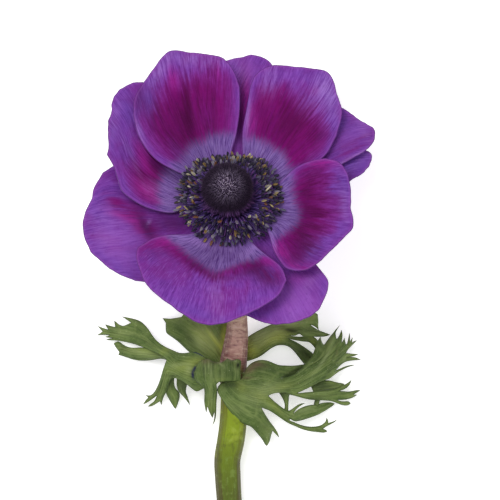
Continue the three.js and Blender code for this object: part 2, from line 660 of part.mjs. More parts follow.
const LEAF_BACK = {
  cols: 14,
  rows: [
    [[0, 221, 361.5, 3], [7, 234, 360, 3], [14, 248, 363.5, 3]],
    [[0, 209, 358.4, 2.8], [7, 234, 349, 2.9], [14, 260, 357.8, 2.8]],
  ],
  kids: [
    {
      cols: 7,
      rows: [
        [[0, 195, 353.4, 2.2], [4, 214, 346, 2.8], [7, 230, 335, 2.8]],
        [[0, 183.6, 347.6, 1.6], [4, 205, 335, 2.4], [7, 228, 318, 2.6]],
        [[0, 173.6, 337.4, 1.1], [4, 196, 321, 2.2], [7, 223, 303, 2.8]],
        [[0, 167, 334, 0.8], [1, 165, 327, 0.9], [4, 185, 311, 2], [7, 214, 293, 3]],
      ],
      kids: [
        { cols: 2, rows: [[[163.4, 318.6, 1]]] },
        { cols: 2, rows: [[[173, 307, 1.8]]] },
        { cols: 2, rows: [[[191, 293, 2.6]]] },
        { cols: 1, rows: [[[209, 281, 3.4]]] },
      ],
    },
    {
      cols: 7,
      rows: [
        [[0, 247, 337, 3.2], [4, 258, 342, 4.2], [7, 270, 349.4, 3.6]],
        [[0, 261, 329.6, 4.2], [4, 271, 335, 5.4], [7, 281, 345.2, 4.4]],
        [[0, 275, 324, 5.4], [3, 283, 331, 6.2], [4, 286, 335.6, 6.2], [7, 291, 348.6, 4.6]],
      ],
      kids: [
        {
          cols: 3,
          rows: [
            [[290, 320.6, 6.2], [297, 333.6, 6.4]],
            [[0, 304, 317, 6], [1, 311, 322.6, 6.2], [3, 311, 336.4, 5.6]],
          ],
          kids: [
            { cols: 1, rows: [[[317, 311.6, 5.4]]] },
            { cols: 2, rows: [[[0, 318.6, 329.6, 5], [2, 320.6, 336.4, 4.6]], [[331, 335.4, 3.8]]] },
          ],
        },
        { cols: 1, rows: [[[296, 338, 5.4], [294, 341, 5]], [[308.6, 339.4, 4.4], [307, 342.6, 4.2]], [[318, 347.6, 3.2]]] },
        {
          cols: 3,
          rows: [
            [[298, 343.4, 4.6], [298.4, 357, 3.2]],
            [[312, 354, 3], [304.4, 364.6, 2]],
            [[321, 363, 1.6], [312, 373, 1]],
            [[323, 373, 0.6]],
          ],
        },
      ],
    },
  ],
};

function gridPoint(x, y, z) {
  return laidPoint((x - GRID_ZERO[0]) * GRID_STEP, (GRID_ZERO[1] - y) * GRID_STEP, z);
}

function leafSheet(tree) {
  const points = [];
  const faces = [];
  const addPoint = (p) => points.push(p) - 1;
  const addRow = (anchors, cols) => {
    if (anchors.length === 1) return [addPoint(gridPoint(...anchors[0].slice(-3)))];
    const plain = anchors.length === 2 && anchors[0].length === 3;
    const full = plain ? [[0, ...anchors[0]], [cols, ...anchors[1]]] : anchors;
    const row = [];
    for (let c = 0; c <= cols; c++) {
      let k = 0;
      while (full[k + 1][0] < c) k++;
      const [c0, ...p0] = full[k];
      const [c1, ...p1] = full[k + 1];
      const t = (c - c0) / (c1 - c0);
      row.push(addPoint(gridPoint(...p0.map((v, m) => v + (p1[m] - v) * t))));
    }
    return row;
  };
  const join = (low, high) => {
    for (let c = 0; c + 1 < low.length; c++) {
      if (high.length === 1) faces.push([low[c], low[c + 1], high[0]]);
      else faces.push([low[c], low[c + 1], high[c]], [low[c + 1], high[c + 1], high[c]]);
    }
  };
  const grow = (strip, start) => {
    let row = start;
    for (const anchors of strip.rows) {
      const next = addRow(anchors, strip.cols);
      if (row) join(row, next);
      row = next;
    }
    let at = 0;
    for (const kid of strip.kids ?? []) {
      grow(kid, row.slice(at, at + kid.cols + 1));
      at += kid.cols;
    }
  };
  grow(tree, null);
  let rise = 0;
  for (const [a, b, c] of faces) {
    const ab = points[b].clone().sub(points[a]);
    rise += ab.cross(points[c].clone().sub(points[a])).z;
  }
  return { points, faces: rise < 0 ? faces.map(([a, b, c]) => [a, c, b]) : faces };
}

function addLeaf(name, tree, color) {
  const { points, faces } = leafSheet(tree);
  addPiece(name, thicken(points, faces, LEAF_THICK), color, 0.6);
}

const group = new THREE.Group();

function addPiece(name, geometry, color, roughness) {
  const material = new THREE.MeshStandardMaterial({ color, roughness, metalness: 0 });
  const mesh = new THREE.Mesh(geometry, material);
  mesh.name = name;
  group.add(mesh);
}

const TEPAL_COLOURS = [0x7a2f8f, 0x7d3a9a, 0x74308c, 0x7f3590, 0x80389a, 0x6f3f9c, 0x6a4aa6, 0x6b42a0, 0x6248a8, 0x84398f];
TEPALS.forEach((spec, k) => {
  const { rows, first } = tepalPoints(spec);
  const faces = gridFaces(TEPAL_ROWS, TEPAL_COLS, first > 0);
  addPiece(spec.name, thicken(rows.flat(), faces, TEPAL_THICK), TEPAL_COLOURS[k], 0.6);
});
addPiece('stem', stemGeometry(), 0x7d8c35, 0.6);
addPiece('pistil_cluster', domeGeometry(), 0x241a2c, 0.8);
addPiece('stamens', stamensGeometry(), 0x2b2d45, 0.7);
addLeaf('leaf_right', LEAF_RIGHT, 0x5f7d35);
addLeaf('leaf_left', LEAF_LEFT, 0x5c7a38);
addLeaf('leaf_back', LEAF_BACK, 0x6a8536);

export default group;
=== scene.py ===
"""A cut purple anemone (Anemone coronaria) laid on a pale surface.

Fine petals, stamens, pistil, stem and whorl leaves take the place of the faceted solids and keep their form.
Lengths in the tables are millimetres, as in the part's source. Meshes are made in metres.
"""

import math

import bpy
import numpy as np
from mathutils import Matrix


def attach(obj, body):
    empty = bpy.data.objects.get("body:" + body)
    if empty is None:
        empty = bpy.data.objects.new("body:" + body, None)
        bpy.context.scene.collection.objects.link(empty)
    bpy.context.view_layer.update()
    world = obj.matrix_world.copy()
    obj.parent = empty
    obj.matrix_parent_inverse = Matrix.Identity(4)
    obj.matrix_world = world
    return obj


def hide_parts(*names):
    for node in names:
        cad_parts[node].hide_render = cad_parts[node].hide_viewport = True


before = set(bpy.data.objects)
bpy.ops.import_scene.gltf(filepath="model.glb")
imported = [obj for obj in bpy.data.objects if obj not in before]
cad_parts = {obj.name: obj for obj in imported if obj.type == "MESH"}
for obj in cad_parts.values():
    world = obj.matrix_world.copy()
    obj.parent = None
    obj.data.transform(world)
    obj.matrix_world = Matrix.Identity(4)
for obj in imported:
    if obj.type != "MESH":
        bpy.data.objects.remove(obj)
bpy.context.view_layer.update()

MM = 0.001
TAU = 2 * math.pi

# ---------------------------------------------------------------- the head's place, as in the part's source
LEAN = math.radians(30)
HEAD = np.array([0.05, 57.75, 21.02])
CLAW_RADIUS = 5.3
CLAW_HALF = 2.2
LAYERS = [(3.2, 9.0), (2.0, 7.4), (0.8, 5.3), (-0.4, 3.2)]  # the claw's level and the bowl's rise
BOWL_FLOOR = 9  # the bowl starts to rise at this radius
BOWL_SLOPE = 34  # and has risen fully this much farther out

# ---------------------------------------------------------------- the camera and the light
VIEW_HEIGHT = 1.25  # metres, over the level that the frame is measured at
VIEW_LEVEL = 22 * MM
FRAME_MIDDLE = (6.0, -12.9)  # in plan from the head's base
FILM_WIDTH = 36
FOCAL_LENGTH = 300
WHITE = (1.0, 1.0, 1.0, 1.0)
WORLD_LIGHT = 0.62
FLOOR_SIZE = 6.0  # metres
FLOOR_GLOW = 0.42
LAMP_AIM = np.array([0.0, 0.03, 0.02])  # metres
# Name, place and size in metres, and watts.
LAMPS = [("key", (-0.42, 0.5, 1.3), 0.7, 10.0), ("fill", (0.7, -0.3, 1.2), 1.0, 3.0)]


def head_points(across, up, along):
    """Points of the leaning head, from coordinates across, up its disc and along its axis."""
    y = up * math.cos(LEAN) + along * math.sin(LEAN)
    z = -up * math.sin(LEAN) + along * math.cos(LEAN)
    return np.stack([across, y, z], -1) + HEAD


def smooth(t):
    """0 up to t = 0 and 1 from t = 1 on, with a soft rise between."""
    c = np.clip(t, 0, 1)
    return c * c * (3 - 2 * c)


def bowl(layer, radius):
    """The height, along the head's axis, of a layer of tepals at a radius."""
    claw, rise = LAYERS[layer]
    return claw + rise * smooth((radius - BOWL_FLOOR) / BOWL_SLOPE)


def waves(seed, count, lowest, highest):
    """A seeded sum of sines of one variable, about -1 to 1."""
    rng = np.random.default_rng(seed)
    rates = rng.uniform(lowest, highest, count)
    phases = rng.uniform(0, TAU, count)
    return lambda t: sum(np.sin(t * w + p) for w, p in zip(rates, phases)) / math.sqrt(count)


def lumps(points, seed, length, count=7):
    """Seeded smooth unevenness over points in space, about -1 to 1, with features of about that length."""
    rng = np.random.default_rng(seed)
    total = np.zeros(len(points))
    for _ in range(count):
        way = rng.normal(size=3)
        way *= TAU / (length * rng.uniform(0.8, 2.0) * np.linalg.norm(way))
        total += np.sin(points @ way + rng.uniform(0, TAU))
    return total / math.sqrt(count)


# ---------------------------------------------------------------- curves
def curve(knots, per_span=24):
    """A centripetal Catmull-Rom curve through the knots, as dense points."""
    knots = np.asarray(knots, float)
    ends = np.vstack([2 * knots[0] - knots[1], knots, 2 * knots[-1] - knots[-2]])
    t = np.linspace(0, 1, per_span, endpoint=False)[:, None]
    dense = []
    for p0, p1, p2, p3 in zip(ends, ends[1:], ends[2:], ends[3:]):
        d0, d1, d2 = (np.linalg.norm(b - a) ** 0.5 for a, b in ((p0, p1), (p1, p2), (p2, p3)))
        m1 = ((p1 - p0) / d0 - (p2 - p0) / (d0 + d1) + (p2 - p1) / d1) * d1
        m2 = ((p2 - p1) / d1 - (p3 - p1) / (d1 + d2) + (p3 - p2) / d2) * d1
        dense.append(
            (2 * t**3 - 3 * t**2 + 1) * p1 + (t**3 - 2 * t**2 + t) * m1
            + (3 * t**2 - 2 * t**3) * p2 + (t**3 - t**2) * m2
        )
    return np.vstack([*dense, knots[-1:]])


def spread(points, shares):
    """Points at the given shares of a dense curve's length."""
    steps = np.linalg.norm(np.diff(points, axis=0), axis=1)
    run = np.concatenate([[0], np.cumsum(steps)])
    run /= run[-1]
    return np.stack([np.interp(shares, run, points[:, k]) for k in range(points.shape[1])], -1)


# ---------------------------------------------------------------- meshes
def make_piece(name, points, faces, material, attributes=None, colours=None):
    """A smooth-shaded mesh object from points in mm, with float and colour attributes on its points."""
    mesh = bpy.data.meshes.new(name)
    mesh.from_pydata((np.asarray(points) * MM).tolist(), [], faces)
    for key, values in (attributes or {}).items():
        layer = mesh.attributes.new(key, "FLOAT", "POINT")
        layer.data.foreach_set("value", np.ascontiguousarray(values, np.float32))
    for key, values in (colours or {}).items():
        layer = mesh.color_attributes.new(key, "FLOAT_COLOR", "POINT")
        layer.data.foreach_set("color", np.ascontiguousarray(values, np.float32).ravel())
    mesh.shade_smooth()
    mesh.materials.append(material)
    piece = bpy.data.objects.new(name, mesh)
    bpy.context.scene.collection.objects.link(piece)
    return piece


def point_normals(points, faces):
    """Normals at the points, from the vector areas of the three- and four-sided faces round them."""
    normals = np.zeros_like(points)
    for size in (3, 4):
        some = np.array([f for f in faces if len(f) == size])
        if not len(some):
            continue
        one = points[some[:, 0]]
        diagonal = points[some[:, 2]] - one
        other = points[some[:, 1]] - one if size == 3 else points[some[:, 3]] - points[some[:, 1]]
        face = np.cross(other, diagonal) if size == 3 else np.cross(diagonal, other)
        for k in range(size):
            np.add.at(normals, some[:, k], face)
    return normals / np.maximum(np.linalg.norm(normals, axis=1), 1e-9)[:, None]


def free_edges(faces):
    """The edges, in their face's direction, that only one face has."""
    edges = {}
    for face in faces:
        for u, v in zip(face, face[1:] + face[:1]):
            edges[(u, v)] = True
    return [(u, v) for u, v in edges if (v, u) not in edges]


def grid_faces(rows, cols):
    """Faces of a sheet of points that lie row by row."""
    faces = []
    for r in range(rows):
        for c in range(cols):
            k = r * (cols + 1) + c
            faces.append((k, k + 1, k + cols + 2, k + cols + 1))
    return faces


def tube_faces(rings, sides, start=0):
    """Faces round a tube of points that lie ring by ring, with open ends."""
    faces = []
    for ring in range(rings - 1):
        low = start + ring * sides
        high = low + sides
        for c in range(sides):
            d = (c + 1) % sides
            faces.append((low + c, low + d, high + d, high + c))
    return faces


def end_faces(rings, sides, start=0):
    """The two faces that close such a tube's ends."""
    last = start + (rings - 1) * sides
    return [tuple(start + c for c in reversed(range(sides))), tuple(last + c for c in range(sides))]


def shifted(faces, start):
    """Faces whose points come after others that are already there."""
    return [tuple(k + start for k in face) for face in faces]


def lathe(profile, sides):
    """A ring round the head's axis from a closed profile of radius and height."""
    around = np.arange(sides) * TAU / sides
    profile = np.array(profile)
    points = np.stack([
        np.outer(np.cos(around), profile[:, 0]), np.outer(np.sin(around), profile[:, 0]),
        np.tile(profile[:, 1], (sides, 1)),
    ], -1).reshape(-1, 3)
    corners = len(profile)
    faces = []
    for k in range(sides):
        a = k * corners
        b = (k + 1) % sides * corners
        for c in range(corners):
            d = (c + 1) % corners
            faces.append((a + c, b + c, b + d, a + d))
    return points, faces


def thicken(points, faces, thickness):
    """A closed skin round a sheet: the upper points, then as many lower ones, and a rim between them."""
    half = 0.5 * np.broadcast_to(thickness, len(points))[:, None] * point_normals(points, faces)
    count = len(points)
    closed = list(faces)
    closed += [tuple(k + count for k in reversed(face)) for face in faces]
    closed += [(v, u, u + count, v + count) for u, v in free_edges(faces)]
    return np.vstack([points + half, points - half]), closed


# ---------------------------------------------------------------- material graphs
# Numbers of the mix node's two colours and of their mixture, because its other inputs share their names.
MIX_A = 6
MIX_B = 7
MIX_RESULT = 2


def srgb(red, green, blue):
    """Linear colour with alpha from 0-255 screen values."""
    def linear(v):
        v /= 255
        return v / 12.92 if v <= 0.04045 else ((v + 0.055) / 1.055) ** 2.4
    return (linear(red), linear(green), linear(blue), 1.0)


class Graph:
    """A short way to write a material's nodes. Inputs are sockets or plain values."""

    def __init__(self, name):
        self.material = bpy.data.materials.new(name)
        self.material.use_nodes = True
        self.nodes = self.material.node_tree.nodes
        self.links = self.material.node_tree.links
        self.shader = self.nodes["Principled BSDF"]

    def put(self, socket, value):
        """Links a socket to an input, or sets the input's plain value."""
        if isinstance(value, bpy.types.NodeSocket):
            self.links.new(value, socket)
        else:
            socket.default_value = value

    def set(self, **values):
        """Puts values on the shader's own inputs."""
        for key, value in values.items():
            self.put(self.shader.inputs[key.replace("_", " ")], value)

    def attribute(self, name, output="Fac"):
        node = self.nodes.new("ShaderNodeAttribute")
        node.attribute_name = name
        return node.outputs[output]

    def math(self, operation, a, b=0.0, clamp=False):
        node = self.nodes.new("ShaderNodeMath")
        node.operation = operation
        node.use_clamp = clamp
        self.put(node.inputs[0], a)
        self.put(node.inputs[1], b)
        return node.outputs[0]

    def add(self, a, b):
        return self.math("ADD", a, b)

    def times(self, a, b):
        return self.math("MULTIPLY", a, b)

    def vector(self, x, y, z):
        node = self.nodes.new("ShaderNodeCombineXYZ")
        for socket, value in zip(node.inputs, (x, y, z)):
            self.put(socket, value)
        return node.outputs[0]

    def place(self):
        return self.nodes.new("ShaderNodeTexCoord").outputs["Object"]

    def noise(self, vector, scale=1.0, detail=3.0, roughness=0.55, distortion=0.0):
        node = self.nodes.new("ShaderNodeTexNoise")
        self.put(node.inputs["Vector"], vector)
        node.inputs["Scale"].default_value = scale
        node.inputs["Detail"].default_value = detail
        node.inputs["Roughness"].default_value = roughness
        node.inputs["Distortion"].default_value = distortion
        return node.outputs["Fac"]

    def cells(self, vector, scale=1.0, feature="F1"):
        node = self.nodes.new("ShaderNodeTexVoronoi")
        node.feature = feature
        self.put(node.inputs["Vector"], vector)
        node.inputs["Scale"].default_value = scale
        return node.outputs["Distance"]

    def step(self, value, low, high):
        """0 below low and 1 above high, smooth between. High may be below low, which turns it round."""
        node = self.nodes.new("ShaderNodeMapRange")
        node.interpolation_type = "SMOOTHSTEP"
        self.put(node.inputs["Value"], value)
        node.inputs["From Min"].default_value = min(low, high)
        node.inputs["From Max"].default_value = max(low, high)
        node.inputs["To Min"].default_value = 0.0 if low < high else 1.0
        node.inputs["To Max"].default_value = 1.0 if low < high else 0.0
        return node.outputs["Result"]

    def mix(self, share, a, b):
        """Colour a where the share is 0 and b where it is 1."""
        node = self.nodes.new("ShaderNodeMix")
        node.data_type = "RGBA"
        self.put(node.inputs["Factor"], share)
        self.put(node.inputs[MIX_A], a)
        self.put(node.inputs[MIX_B], b)
        return node.outputs[MIX_RESULT]

    def tinge(self, colour, mask, amount, tint):
        """The colour, with so much of the tint where the mask is 1."""
        return self.mix(self.times(mask, amount), colour, tint)

    def ramp(self, value, stops):
        node = self.nodes.new("ShaderNodeValToRGB")
        self.put(node.inputs["Fac"], value)
        elements = node.color_ramp.elements
        while len(elements) < len(stops):
            elements.new(0.5)
        for element, (at, colour) in zip(elements, stops):
            element.position = at
            element.color = colour
        return node.outputs["Color"]

    def bump(self, height, strength, distance):
        """distance is in metres: how high a height of 1 stands."""
        node = self.nodes.new("ShaderNodeBump")
        node.inputs["Strength"].default_value = strength
        node.inputs["Distance"].default_value = distance
        self.put(node.inputs["Height"], height)
        self.links.new(node.outputs["Normal"], self.shader.inputs["Normal"])


# ---------------------------------------------------------------- tepals
TEPAL_COLS = 100
TEPAL_ROWS = 76
TEPAL_THICK = 0.30
TEPAL_EDGE = 0.45  # the margin's share of that thickness
TEPAL_TAPER = 1.2  # the blade thins over this much before its margin
SOLVE_ROUNDS = 12
MARGIN_WAVE = 0.0016  # in plan, as a share of the distance from the axis
MARGIN_CURL = 0.07  # up and down
FOLD_DEPTH = 0.35  # of the fold along the middle
FOLD_WIDTH = 0.16  # as a share of half the blade's width
RUFFLE_RATE = 8.5
CREASE_FADE = 0.15  # as a share of the blade's length
CREASE_SHARE = 0.6  # of the listed depths
VEIN_RELIEF = 0.035
TEPAL_MARK_KINDS = ("dark", "red", "violet", "pale", "blue", "rose", "hot", "shade")

# Outlines run from one corner of the claw round the margin to the other corner: place in plan from the
# head's base, and lift above the layer's bowl, as in the part's source. sides tells where the side edges
# end. look holds where the pale eye and the crimson band end, in mm from the axis, how softly the band ends
# and how strong it is. Bulges carry the eye farther out: place across, half width across and mm. Marks are
# soft patches of colour, listed by kind: place in plan, half length and half width in mm, way in degrees and
# amount. The shade marks are painted shade, contact shadows at gaps and overlaps. The dark marks are partly
# deeper crimson and partly painted shade in creases and gaps. The pale marks are partly paler patches and
# partly painted sheen, and the rose marks partly pinkish lilac and partly painted light that lifts cast
# shadow. The red, hot, violet and blue marks are the tepal's own colour.
# Creases are valleys (or, below 0, ridges) in the blade: place across, half width across, depth in mm, from
# and to.
TEPALS = [
    dict(
        name="tepal_inner_1", azimuth=112, layer=0, sides=(3, 12), sag=0.4, ruffle=0.35, phase=0.4,
        seed=1,
        outline=[
            (-0.6, 12, 0), (2, 22.8, 0), (2.9, 29.8, 0.3), (2.9, 36.3, 0.5), (0.9, 41.5, 0.4),
            (-2.6, 45.3, 0), (-10.8, 47.1, -0.4), (-17.9, 47.5, 0.1), (-20, 46, 0.5), (-22.4, 43, 0.8),
            (-25.8, 38.3, 1), (-28.7, 33.2, 0.9), (-29.1, 27.4, 0.8), (-27.3, 20.9, 0.6),
            (-22.6, 14.5, 0.3), (-13.6, 9.4, 0),
        ],
        look=(22.0, 42.0, 4.0, 1.0),
        bulges=[(0.65, 0.35, -1.6), (-0.6, 0.3, 0.6)],
        marks=dict(
            dark=[
                (-12.8, 31, 9, 1.1, 94, 0.75), (-13.5, 26, 7, 2.6, 105, 0.6), (-17, 23, 6, 1.8, 122, 0.4),
                (-5, 26, 6, 1, 92, 0.3),
            ],
            shade=[
                (-27.6, 33, 7, 1.2, 84, 0.35), (-24, 31, 7, 4, 100, 0.25),
                (-16.4, 17.4, 5, 2.4, 130, 0.3), (-25.5, 31.4, 4, 2.6, 100, 0.14),
                (-12, 24, 10, 7, 100, 0.12),
            ],
            red=[
                (-17, 35, 5, 1.6, 108, 0.75), (-9.3, 33, 5, 2.2, 96, 0.6),
                (-22.5, 24.5, 5, 1.6, 130, 0.45),
            ],
            hot=[(-17.4, 39, 3.6, 1.4, 100, 0.8), (-3.6, 41, 3, 0.7, 95, 0.5)],
            violet=[
                (-26, 33, 7, 3, 105, 0.8), (-10, 45, 10, 2.2, 176, 0.7), (-18, 44, 6, 3, 60, 0.5),
                (-22.5, 18.5, 8, 2, 128, 0.75), (-16, 16.6, 4, 2, 130, 0.8), (-6, 25, 5, 2.4, 95, 0.25),
            ],
            blue=[(-24.5, 31, 7, 3.2, 105, 0.5), (-17, 47, 5, 1.4, 170, 0.4)],
            pale=[
                (-12, 45, 12, 2.2, 176, 0.3), (-27.4, 22.6, 5, 0.9, 112, 0.6),
                (-21.5, 41, 5, 1.6, 57, 0.5),
            ],
        ),
        creases=[
            (-0.05, 0.12, 0.55, 0.1, 0.8), (-0.42, 0.1, 0.3, 0.2, 0.95), (0.3, 0.14, -0.35, 0.15, 0.9),
        ],
    ),
    dict(
        name="tepal_inner_2", azimuth=52, layer=1, sides=(3, 12), sag=0.3, ruffle=0.35, phase=1.6, seed=2,
        outline=[
            (3.6, 14, 0), (3.7, 22.6, 0), (4.9, 29.8, 0.2), (6.1, 36.8, 0.4), (7.9, 40.3, 0.5),
            (12.5, 42.9, 0.6), (18.3, 43.1, 0.4), (25.2, 42, 0), (29.4, 41.1, -0.3), (31.2, 38.6, -0.2),
            (32.4, 34.2, 0.2), (33.8, 28.4, 0.3), (32, 21.4, -0.2), (28.6, 15.6, -0.6), (21, 10.2, -0.4),
            (14, 6.6, -0.2),
        ],
        look=(23.0, 39.0, 3.4, 1.0),
        bulges=[(0.75, 0.3, -1.5), (-0.8, 0.25, -1.0)],
        marks=dict(
            dark=[(18.3, 25.5, 6.5, 3.8, 50, 0.8), (10, 28, 5, 1.6, 75, 0.35)],
            shade=[(28, 22.5, 4, 3, 120, 0.2)],
            red=[
                (8.6, 24, 6, 2.2, 82, 0.6), (14, 31, 6, 4, 70, 0.6), (20.5, 15, 4.5, 1.8, 150, 0.8),
                (9, 29, 6, 2.4, 82, 0.7), (16, 35, 4, 2.4, 66, 0.6), (25, 22, 4, 3, 40, 0.6),
                (16, 28, 7, 5, 60, 0.5),
            ],
            hot=[(6.6, 26, 4.6, 1.5, 85, 0.7)],
            violet=[(30, 33, 9, 3, 100, 0.6), (18, 41.5, 11, 2.6, 178, 0.7)],
            blue=[(31, 28, 7, 2.2, 100, 0.55), (24, 40, 6, 2, 170, 0.35)],
            pale=[
                (28, 36, 6, 3.4, 60, 0.35), (30.6, 33, 7, 3, 100, 0.4), (5.2, 27, 6, 0.9, 85, 0.55),
                (12, 39, 5, 2.4, 80, 0.3),
            ],
        ),
        creases=[(0, 0.16, 0.4, 0.15, 0.9), (0.5, 0.12, -0.3, 0.2, 0.9), (-0.5, 0.12, -0.25, 0.2, 0.9)],
    ),
    dict(
        name="tepal_inner_3", azimuth=350, layer=0, sides=(3, 16), sag=0.5, ruffle=0.35, phase=2.2,
        seed=3,
        outline=[
            (13, 6, 0), (19.6, 11.8, 0.2), (24.4, 13.9, 0.4), (28.6, 14.6, 0.5), (32.6, 13.2, 0.4),
            (34.8, 10.6, 0.3), (35.8, 7.2, 0.2), (36.1, 2, 0), (35.9, -0.4, 0), (36.4, -2.8, 0.05),
            (36.7, -5, 0.1), (36.4, -6.5, 0.15), (33.9, -8.9, 0.25), (30.4, -12.7, 0.35),
            (25.6, -17.2, 0.3), (22.2, -18.8, 0.25), (19.2, -18.9, 0.1), (16.6, -18.1, 0),
            (14.2, -15.2, 0), (12.6, -12.2, 0), (11.4, -8, 0),
        ],
        look=(21.0, 33.5, 4.0, 1.0),
        bulges=[(-0.55, 0.35, -1.8), (0.15, 0.3, 0.9), (0.9, 0.2, -1.5)],
        marks=dict(
            dark=[
                (21.5, -9, 6, 2, 125, 0.5), (23.5, 4, 6, 2.2, 80, 0.45), (25, -3, 5, 1.6, 60, 0.35),
                (27, -2, 7, 0.7, 8, 0.4),
            ],
            shade=[
                (14.6, -17.4, 4, 0.5, 130, 0.5), (22, -13, 7, 4, 40, 0.48), (21, -1.5, 2.5, 5, 0, 0.15),
                (26, 1, 5, 8, 10, 0.12), (33, 4, 6, 3, 92, 0.15),
            ],
            red=[(24.5, 12, 5, 2, 20, 0.7), (19.5, -14.6, 6, 3.2, 135, 1.0)],
            hot=[
                (27.5, 13.2, 5, 1.1, 0, 0.7), (15.4, -13.2, 3.6, 1.6, 125, 0.9),
                (20, -17.7, 4, 0.9, 175, 0.6),
            ],
            violet=[(33, 6, 8, 3, 95, 0.6), (31, -9, 6, 2.4, 45, 0.6), (25, -15, 4, 2, 30, 0.4)],
            blue=[
                (34.6, 7, 6, 1.8, 110, 0.45), (33, -7, 5, 1.6, 55, 0.4), (30, 5, 4, 2, 60, 0.35),
                (24, -13.6, 5, 2, 40, 0.4),
            ],
            pale=[(12.8, -10.4, 3, 0.7, 112, 0.7), (34, 2, 6, 1.4, 92, 0.3)],
        ),
        creases=[
            (0.05, 0.12, 0.5, 0.2, 0.95), (-0.45, 0.12, -0.3, 0.2, 0.9), (0.5, 0.12, -0.3, 0.2, 0.9),
        ],
    ),
    dict(
        name="tepal_inner_4", azimuth=257, layer=0, sides=(3, 13), sag=0.4, ruffle=0.35, phase=3.4,
        seed=4,
        outline=[
            (-11.6, -8, 0), (-17.5, -8.4, 0.1), (-22.4, -9.4, 0.3), (-27.2, -12.3, 0.5),
            (-27.6, -14.8, 0.5), (-26.5, -18.7, 0.3), (-24.2, -23.2, 0.1), (-19.6, -27.4, 0),
            (-10.4, -33.6, -0.2), (-4.4, -34.6, -0.2), (3.8, -32.4, 0), (10, -29.3, 0.4),
            (14.6, -25.8, 0.6), (16.8, -21.4, 0.6), (15.2, -17.8, 0.4), (8.8, -12.6, 0),
        ],
        look=(23.4, 27.0, 1.7, 1.0),
        bulges=[(0.02, 0.34, 3.2), (-0.6, 0.3, 0.2)],
        marks=dict(
            dark=[
                (-9, -18.7, 5, 1.0, 148, 0.5), (-2, -21.2, 4, 0.9, 175, 0.4),
                (5.5, -19.4, 5, 1.2, 20, 0.5), (9.6, -20.4, 4, 2.4, 150, 0.2),
            ],
            shade=[
                (10, -20.5, 6, 3, 150, 0.55), (-4, -14, 9, 4, 0, 0.27), (-8, -18.4, 5, 2, 155, 0.25),
                (-20, -13.4, 4, 2, 20, 0.2), (-20, -20, 6, 4, 140, 0.15),
            ],
            red=[
                (-24, -12, 5, 2.4, 20, 0.75), (-16, -15, 5, 2, 140, 0.6), (9, -18.6, 6, 2.4, 155, 0.9),
                (13, -21, 3, 2, 30, 0.6), (-12, -20, 3, 0.7, 112, 0.4), (-2, -25, 4, 0.6, 92, 0.4),
                (5, -25, 4, 0.7, 80, 0.4), (-7, -27, 4, 0.5, 100, 0.3),
            ],
            hot=[(-19, -10.8, 4.5, 2, 172, 0.65), (11.4, -16.2, 3, 1.2, 145, 0.7)],
            violet=[(-16, -26, 8, 3, 140, 0.4)],
            blue=[(-10, -31, 10, 2, 160, 0.5), (5, -29, 5, 2, 30, 0.3)],
            pale=[
                (-10, -10.5, 8, 1.3, 168, 0.7), (7, -12.5, 5, 1.3, 35, 0.6), (-4, -28, 9, 2.4, 95, 0.25),
            ],
        ),
        creases=[
            (-0.1, 0.14, 0.4, 0.15, 0.85), (0.45, 0.1, -0.3, 0.2, 0.9), (-0.6, 0.1, -0.25, 0.2, 0.9),
        ],
    ),
    dict(
        name="tepal_inner_5", azimuth=156, layer=1, sides=(4, 13), sag=0.5, ruffle=0.35, phase=4.4,
        seed=5,
        outline=[
            (-10.4, 9.8, -0.2), (-16, 16, -0.3), (-20.6, 24, -0.3), (-22.4, 32, -0.2), (-26.4, 37.8, 0),
            (-29.6, 37.8, 0.2), (-32.8, 36.1, 0.3), (-34.8, 33.6, 0.4), (-35.8, 31.3, 0.35),
            (-35.7, 28.9, 0.3), (-36.6, 26.6, 0.25), (-36.7, 22, 0.15), (-36.5, 18.2, 0.05),
            (-36.9, 15.6, 0), (-34.9, 12.2, 0.1), (-33.6, 8.4, 0.2), (-32.4, 4.9, 0.35), (-30, 2.7, 0.4),
            (-25.4, 0, 0.3), (-18, -1.8, 0), (-11.6, -0.4, 0),
        ],
        look=(21.5, 31.0, 3.2, 0.95),
        bulges=[(-0.5, 0.4, 0.8)],
        marks=dict(
            dark=[(-23, 13, 7, 1.6, 118, 0.35)],
            shade=[(-20, 11.2, 5.5, 1.5, 144, 0.65), (-31, 16, 6, 3, 110, 0.17)],
            red=[
                (-27.5, 9, 7, 2.8, 122, 0.85), (-24, 19, 6, 1.5, 118, 0.6), (-23, 3.4, 6, 1.2, 162, 0.4),
            ],
            hot=[(-26.4, 16, 5, 1.4, 112, 0.7), (-24, 4.4, 5, 1.8, 150, 0.8)],
            violet=[(-33, 22, 8, 3, 105, 0.5)],
            blue=[
                (-29, 5.6, 4, 2.4, 150, 0.4), (-31, 29, 7, 3.4, 110, 0.6), (-35.5, 20, 9, 1.4, 95, 0.4),
            ],
            pale=[
                (-17.5, 3.5, 7, 3, 160, 0.5), (-30.5, 17, 10, 0.8, 115, 0.2),
                (-34.8, 26, 6, 1.4, 80, 0.3),
            ],
        ),
        creases=[(-0.1, 0.1, -0.5, 0.15, 0.95), (0.35, 0.14, 0.4, 0.15, 0.9)],
    ),
    dict(
        name="tepal_outer_1", azimuth=194, layer=2, sides=(3, 12), sag=0.3, ruffle=0.4, phase=5.1, seed=6,
        outline=[
            (-13, 3, 0), (-23, 8.6, -0.2), (-33.2, 12.8, 0), (-38.2, 10.3, 0.1), (-40.9, 5.4, 0.2),
            (-41.3, 2.3, 0.2), (-43.2, -1.9, 0.1), (-43.8, -6.5, 0), (-42.3, -11.4, 0.1),
            (-41.2, -13.6, 0.2), (-37.5, -16.9, 0.2), (-33.8, -19.3, 0.2), (-27.9, -22.2, 0),
            (-20, -22.6, -0.6), (-10.6, -17, -0.4), (-5, -10.6, 0),
        ],
        look=(12.0, 22.0, 4.0, 0.0),
